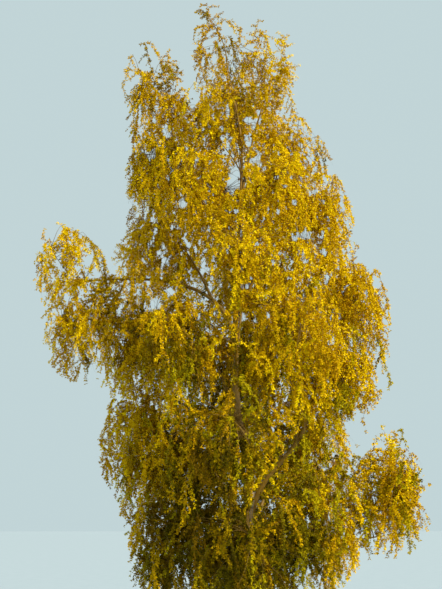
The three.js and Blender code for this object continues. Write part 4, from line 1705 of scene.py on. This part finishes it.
def add_piece(
    name: str, parts: MeshParts, stands_for: Sequence[str], finishes: Sequence[bpy.types.Material],
    smooth: bool = True,
) -> bpy.types.Object:
    """Makes a piece of the tree, in place of its solids.

    Args:
        name: The piece's name.
        parts: Its corners and faces.
        stands_for: The solids that it replaces.
        finishes: Its materials.
        smooth: Whether its faces are shaded smooth.

    Returns:
        The piece.
    """
    mesh = parts.mesh(name, smooth)
    for finish in finishes:
        mesh.materials.append(finish)
    piece = bpy.data.objects.new(name, mesh)
    bpy.context.scene.collection.objects.link(piece)
    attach(piece, BODY)
    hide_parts(*stands_for)
    LOG.info("%s: %d triangles", name, parts.triangles())
    return piece


def keep_numbers(mesh: bpy.types.Mesh, **numbers: Array) -> None:
    """Keeps named numbers at a mesh's corners for its finish.

    Args:
        mesh: The mesh.
        numbers: One number for each corner, by name.
    """
    for name, values in numbers.items():
        attribute = mesh.attributes.new(name, "FLOAT", "POINT")
        attribute.data.foreach_set("value", values.astype(np.float32).ravel())


@dataclass(frozen=True)
class Grain:
    """A noise in the bark's relief: its cells across and up, and the seed of its pattern."""

    across: float
    up: float
    seed: float

    def over(self, places: Array, shift: Array | float = 0.0) -> Array:
        """The noise at places, with its cells shifted."""
        return smooth_noise(places * [self.across, self.across, self.up] + shift, self.seed)


@dataclass(frozen=True)
class Trunk:
    """The trunk with its bark in relief: furrowed plates at the foot, collars and scars at boughs."""

    form: TrunkForm = field(default_factory=TrunkForm)
    sides: int = 40
    rings: int = 440
    crowding: float = 1.12  # the power that crowds the rings towards the foot
    furrow_top: float = 2.3
    furrow_depth: float = 0.0352
    bulge: float = 0.035  # of the radius
    bulges: Grain = Grain(1.0, 0.8, 7.0)
    plate_cells: tuple[float, float, float] = (3.2, 3.2, 1.5)  # round the trunk, and in a metre up
    warp: Grain = Grain(0.7, 2.0, 5.0)
    warp_reach: float = 0.5
    plates: Grain = Grain(1.0, 1.3, 1.0)
    cracks: Grain = Grain(1.9, 1.5, 2.0)  # finer and shallower furrows
    cracks_above: float = 0.08
    furrow_edges: tuple[float, float] = (0.02, 0.26)
    foot_edge: Grain = Grain(0.6, 1.2, 4.0)
    foot_strays: float = 0.35
    foot_fades: tuple[float, float] = (0.5, 1.0)  # of the height of the highest furrows
    heading_share: float = 0.08  # of a bough, over which its way out is taken
    collar: tuple[float, float] = (0.3, 1.3)  # its height and its spread, of the bough's radius
    brow: tuple[float, float] = (1.6, 0.9)  # its height, of the bough's radius, and its slope
    brow_edges: tuple[float, float] = (0.012, 0.045)
    brow_ends: tuple[float, float] = (2.2, 4.2)  # of the bough's radius

    def build(self, boughs: Sequence[Bough]) -> bpy.types.Object:
        """Builds the trunk.

        Args:
            boughs: The boughs, of which those on the trunk leave collars and scars.

        Returns:
            The trunk's piece.
        """
        heights = self.form.height * np.linspace(0, 1, self.rings) ** self.crowding
        angles = np.arange(self.sides) * 2 * math.pi / self.sides
        z, turn = np.meshgrid(heights, angles, indexing="ij")
        radius = self.form.radius(z, turn)
        around = np.stack([np.cos(turn), np.sin(turn), z], axis=-1)
        furrow = self.furrows(around)
        collar, scar = self.junctions(boughs, z, turn, radius)
        swell = 1 + self.bulge * self.bulges.over(around)
        relief = radius * swell - furrow * self.furrow_depth * radius / radius.max() + collar
        corners = self.form.middle(z) + around * relief[..., None] * [1, 1, 0]
        parts = MeshParts(corners.reshape(-1, 3), ring_faces(1, self.rings, self.sides))
        piece = add_piece("trunk_bark", parts, ["trunk"], [BarkFinish("white_bark").material()])
        keep_numbers(piece.data, girth=radius, furrow=furrow, scar=scar)
        return piece

    def furrows(self, around: Array) -> Array:
        """How deep the bark is furrowed, from 0 to 1, at places on a trunk of radius 1.

        Args:
            around: The places.

        Returns:
            One depth for each.
        """
        places = around * self.plate_cells
        warp = self.warp_reach * self.warp.over(places)
        plates = np.abs(self.plates.over(places, warp[..., None]))
        plates = np.minimum(plates, np.abs(self.cracks.over(places)) + self.cracks_above)
        level = around[..., 2] / self.furrow_top - self.foot_strays * self.foot_edge.over(places)
        return (1 - ease(*self.foot_fades, level)) * (1 - ease(*self.furrow_edges, plates))

    def junctions(self, boughs: Sequence[Bough], z: Array, turn: Array, radius: Array) -> tuple[Array, Array]:
        """Works out the collars and scars where boughs leave the trunk.

        Args:
            boughs: The boughs.
            z: The height of each corner.
            turn: The angle of each corner.
            radius: The trunk's radius at each corner.

        Returns:
            How far the collars stand out, and how strong the scars are, at each corner.
        """
        collar, scar = np.zeros_like(z), np.zeros_like(z)
        collar_height, collar_spread = self.collar
        brow_height, brow_slope = self.brow
        brow_ends = np.array(self.brow_ends)
        for bough in (bough for bough in boughs if not bough.plan.on):
            thick = bough.plan.thick
            way = bough.curve.at(self.heading_share) - bough.curve.at(0.0)
            heading = math.atan2(way[1], way[0])
            leaving = float(self.form.radius(np.array(bough.plan.start)))
            height = bough.plan.start + way[2] / float(np.hypot(way[0], way[1])) * leaving
            aside = np.abs((turn - heading + math.pi) % (2 * math.pi) - math.pi) * radius
            rise = z - height
            spread = collar_spread * thick
            collar += collar_height * thick * np.exp(-(aside**2 + rise**2) / (2 * spread**2))
            brow = np.abs(rise - brow_height * thick + brow_slope * aside)
            scar += (1 - ease(*self.brow_edges, brow)) * (1 - ease(*(brow_ends * thick), aside))
        return collar, np.minimum(scar, 1.0)


@dataclass(frozen=True)
class BoughSet:
    """The boughs, each one tapering limb with a swollen foot and bark in relief."""

    sides: int = 10
    rings: int = 44
    foot: float = 0.35  # how much wider a bough is where it leaves the trunk
    foot_length: float = 0.16
    knobs: tuple[float, float] = (0.07, 0.042)  # the heights of the coarse and the fine, of the radius
    knob_grains: tuple[Grain, Grain] = (Grain(3.5, 3.5, 8.0), Grain(9.0, 9.0, 9.0))
    marks: Grain = Grain(4.0, 4.0, 6.0)
    mark_edges: tuple[float, float] = (0.45, 0.75)
    mark_strength: float = 0.7

    def build(self, boughs: Sequence[Bough]) -> bpy.types.Object:
        """Builds the boughs as one piece.

        Args:
            boughs: The boughs.

        Returns:
            The boughs' piece.
        """
        shares = np.linspace(0, 1, self.rings)
        paths = np.stack([bough.curve.at(shares) for bough in boughs])
        radii = np.stack([bough.radii(shares) for bough in boughs])
        passed = np.linalg.norm(paths - paths[:, :1], axis=-1)
        radii = radii * (1 + self.foot * np.exp(-passed / self.foot_length))
        knobs = sum(height * grain.over(paths) for height, grain in zip(self.knobs, self.knob_grains))
        parts = tubes(paths, radii * (1 + knobs), self.sides)
        names = [f"bough_{bough.plan.name}" for bough in boughs]
        piece = add_piece("boughs_bark", parts, names, [BarkFinish("bough_bark").material()])
        girth = np.repeat(radii.ravel(), self.sides)
        marks = np.repeat(ease(*self.mark_edges, self.marks.over(paths)).ravel(), self.sides)
        keep_numbers(piece.data, girth=girth, furrow=0 * girth, scar=marks * self.mark_strength)
        return piece


@dataclass(frozen=True)
class Crown:
    """The masses of foliage, joined by tiers into pieces of leaves and of twigs."""

    leaf_roughness: float = 0.55
    leaf_shine: float = 0.02
    # tinted yellower as painted light: the yellow light that falls through the leaves
    branchlet_and_leaf_light_colour: str = "#8E6C22"
    hanging_twig_colour: str = "#6E4E1E"

    def build(self, masses: Sequence[Mass]) -> None:
        """Grows every mass, and joins what those of a tier grow into one piece of each kind.

        Args:
            masses: The masses.
        """
        finishes = self.finishes()
        leaves = 0
        for tier in Tier:
            own = [mass for mass in masses if Tier.holding(mass.plan.at[2]) is tier]
            grown = [mass.grow() for mass in own]
            nodes = [f"foliage_{mass.plan.name}" for mass in own]
            tints = np.concatenate([tints for one in grown for tints in one.tints])
            for kind in Kind:
                title, slot = kind.value
                parts = [part for one in grown for part in one.parts[kind] if part.corners.size]
                smooth = kind is not Kind.LEAVES
                name = f"{title}_{tier.name.lower()}"
                piece = add_piece(name, MeshParts.joined(parts), nodes, finishes[kind], smooth)
                if kind is Kind.LEAVES:
                    piece.data.polygons.foreach_set("material_index", tints.astype(np.int32))
            leaves += len(tints)
        LOG.info("%d leaves in all", leaves)

    def finishes(self) -> dict[Kind, list[bpy.types.Material]]:
        """Makes the materials of each kind of piece: one for each tint of leaves, and two of bark.

        Returns:
            The materials.
        """
        leaves = [
            PlainFinish(f"leaf_{tint.name.lower()}", tint.colour, self.leaf_roughness, self.leaf_shine)
            for tint in LeafTint
        ]
        return {
            Kind.LEAVES: [leaf.material() for leaf in leaves],
            Kind.BRANCHLETS: [PlainFinish("branchlet_bark", self.branchlet_and_leaf_light_colour).material()],
            Kind.HANGING_TWIGS: [PlainFinish("young_twig_bark", self.hanging_twig_colour).material()],
        }


class Birch:
    """The whole tree: its spaces, boughs and masses, set out as in the source."""

    trunk_lengths, bough_lengths = 31, 8  # the straight lengths that leaves stay clear of

    def __init__(self) -> None:
        """Sets out the spaces with their walls, then the boughs, and then the masses on their stems."""
        self.form = TrunkForm()
        spaces = {plan.name: Space(plan) for plan in MASSES}
        for one, other in product(spaces.values(), repeat=2):
            if one is not other:
                one.wall_towards(other)
        self.boughs: dict[str, Bough] = {}
        for plan in MASSES:
            if plan.thick:
                carrier = self.boughs.get(plan.on)
                root = carrier.curve.at(plan.up) if carrier else self.form.middle(plan.start)
                self.boughs[plan.name] = Bough(plan, spaces[plan.name], root)
        self.site = Site(spaces, Hull(list(spaces.values())), self.limbs(), Sky())
        self.masses = [self.mass(plan, seed) for seed, plan in enumerate(MASSES, 1)]

    def mass(self, plan: MassPlan, seed: int) -> Mass:
        """Sets a mass on its bough's tip, on the trunk's tip or on the trunk.

        Args:
            plan: The mass's plan.
            seed: Its number.

        Returns:
            The mass.
        """
        bough = self.boughs.get(plan.name)
        if bough:
            return Mass(self.site, plan, seed, bough.curve.at(1.0), bough.curve.end_way(), bough.curve)
        root = self.form.middle(self.form.height if plan.leader else plan.start)
        way = UP if plan.leader else unit(entry_of(plan, self.site.spaces[plan.name], root) - root)
        return Mass(self.site, plan, seed, root, way)

    def limbs(self) -> Limbs:
        """The straight lengths of the trunk and boughs.

        Returns:
            Their starts, ends and radii.
        """
        heights = np.linspace(0, self.form.height, self.trunk_lengths + 1)
        lines = [(self.form.middle(heights), self.form.radius(heights))]
        shares = np.linspace(0, 1, self.bough_lengths + 1)
        lines += [(bough.curve.at(shares), bough.radii(shares)) for bough in self.boughs.values()]
        starts = np.concatenate([points[:-1] for points, _ in lines])
        ends = np.concatenate([points[1:] for points, _ in lines])
        return Limbs(starts, ends, np.concatenate([radii[:-1] for _, radii in lines]))

    def build(self) -> None:
        """Builds the trunk, the boughs and the crown."""
        boughs = list(self.boughs.values())
        Trunk().build(boughs)
        BoughSet().build(boughs)
        Crown().build(self.masses)


@dataclass(frozen=True)
class Studio:
    """A plain pale floor, a soft warm key light from the front right, and pale light all round."""

    floor_half: float = 900.0
    floor_drop: float = 0.004  # under the flat cut
    floor_colour: str = "#AFBCC3"
    floor_specks: Speckle = Speckle((0.8, 0.8, 0.8), 3.0, 0.2, 0.8)
    speck_colour: str = "#FFFFFF"
    speck_strength: float = 0.06
    floor_roughness: float = 0.9
    air_colour: str = "#CFE3E6"
    air_strength: float = 0.86
    key_strength: float = 4.0
    key_colour: tuple[float, float, float] = (1.0, 0.93, 0.80)
    key_height: float = math.radians(34)
    key_turn: float = math.radians(52)  # from straight in front, towards the right
    key_softness: float = math.radians(12)

    def build(self) -> None:
        """Lays the floor and sets the lights."""
        self.lay_floor()
        world = bpy.data.worlds.new("pale_air")
        world.use_nodes = True
        air = world.node_tree.nodes["Background"]
        air.inputs["Color"].default_value = linear(self.air_colour)
        air.inputs["Strength"].default_value = self.air_strength
        bpy.context.scene.world = world
        lamp = bpy.data.lights.new("key_light", "SUN")
        lamp.energy, lamp.color, lamp.angle = self.key_strength, self.key_colour, self.key_softness
        key = bpy.data.objects.new("key_light", lamp)
        key.rotation_euler = (math.pi / 2 - self.key_height, 0.0, self.key_turn)
        bpy.context.scene.collection.objects.link(key)
        bpy.context.scene.view_settings.view_transform = "Standard"

    def lay_floor(self) -> None:
        """Lays the floor, just under the flat cut."""
        ways = np.array([[-1, -1, 0], [1, -1, 0], [1, 1, 0], [-1, 1, 0]])
        corners = self.floor_half * ways - UP * self.floor_drop
        mesh = MeshParts(corners, (np.arange(4)[None],)).mesh("floor", False)
        tree = ShaderTree("pale_floor")
        specks = self.floor_specks.on(tree) * self.speck_strength
        colour = tree.blend(specks, linear(self.floor_colour), linear(self.speck_colour))
        mesh.materials.append(tree.finish({"Base Color": colour, "Roughness": self.floor_roughness}))
        floor = bpy.data.objects.new("floor", mesh)
        bpy.context.scene.collection.objects.link(floor)


@dataclass(frozen=True)
class Viewer:
    """The camera, where the tree was seen from."""

    pitch: float = math.radians(8)
    focal_px: float = 1620.0
    frame_px: tuple[int, int] = (442, 589)
    sensor: float = 36.0
    sight: float = 4000.0

    def build(self, place: tuple[float, float, float]) -> None:
        """Sets the camera at a place.

        Args:
            place: The place.
        """
        data = bpy.data.cameras.new("viewer")
        data.sensor_width = self.sensor
        data.lens = self.focal_px / max(self.frame_px) * self.sensor
        data.clip_end = self.sight
        camera = bpy.data.objects.new("viewer", data)
        camera.location = place
        camera.rotation_euler = (math.pi / 2 + self.pitch, 0.0, 0.0)
        bpy.context.scene.collection.objects.link(camera)
        bpy.context.scene.camera = camera


def main() -> None:
    """Builds the tree in its studio."""
    logging.basicConfig(level=logging.INFO, format="%(message)s")
    Viewer().build(Sky().viewpoint)
    Studio().build()
    Birch().build()


if __name__ == "__main__":
    main()
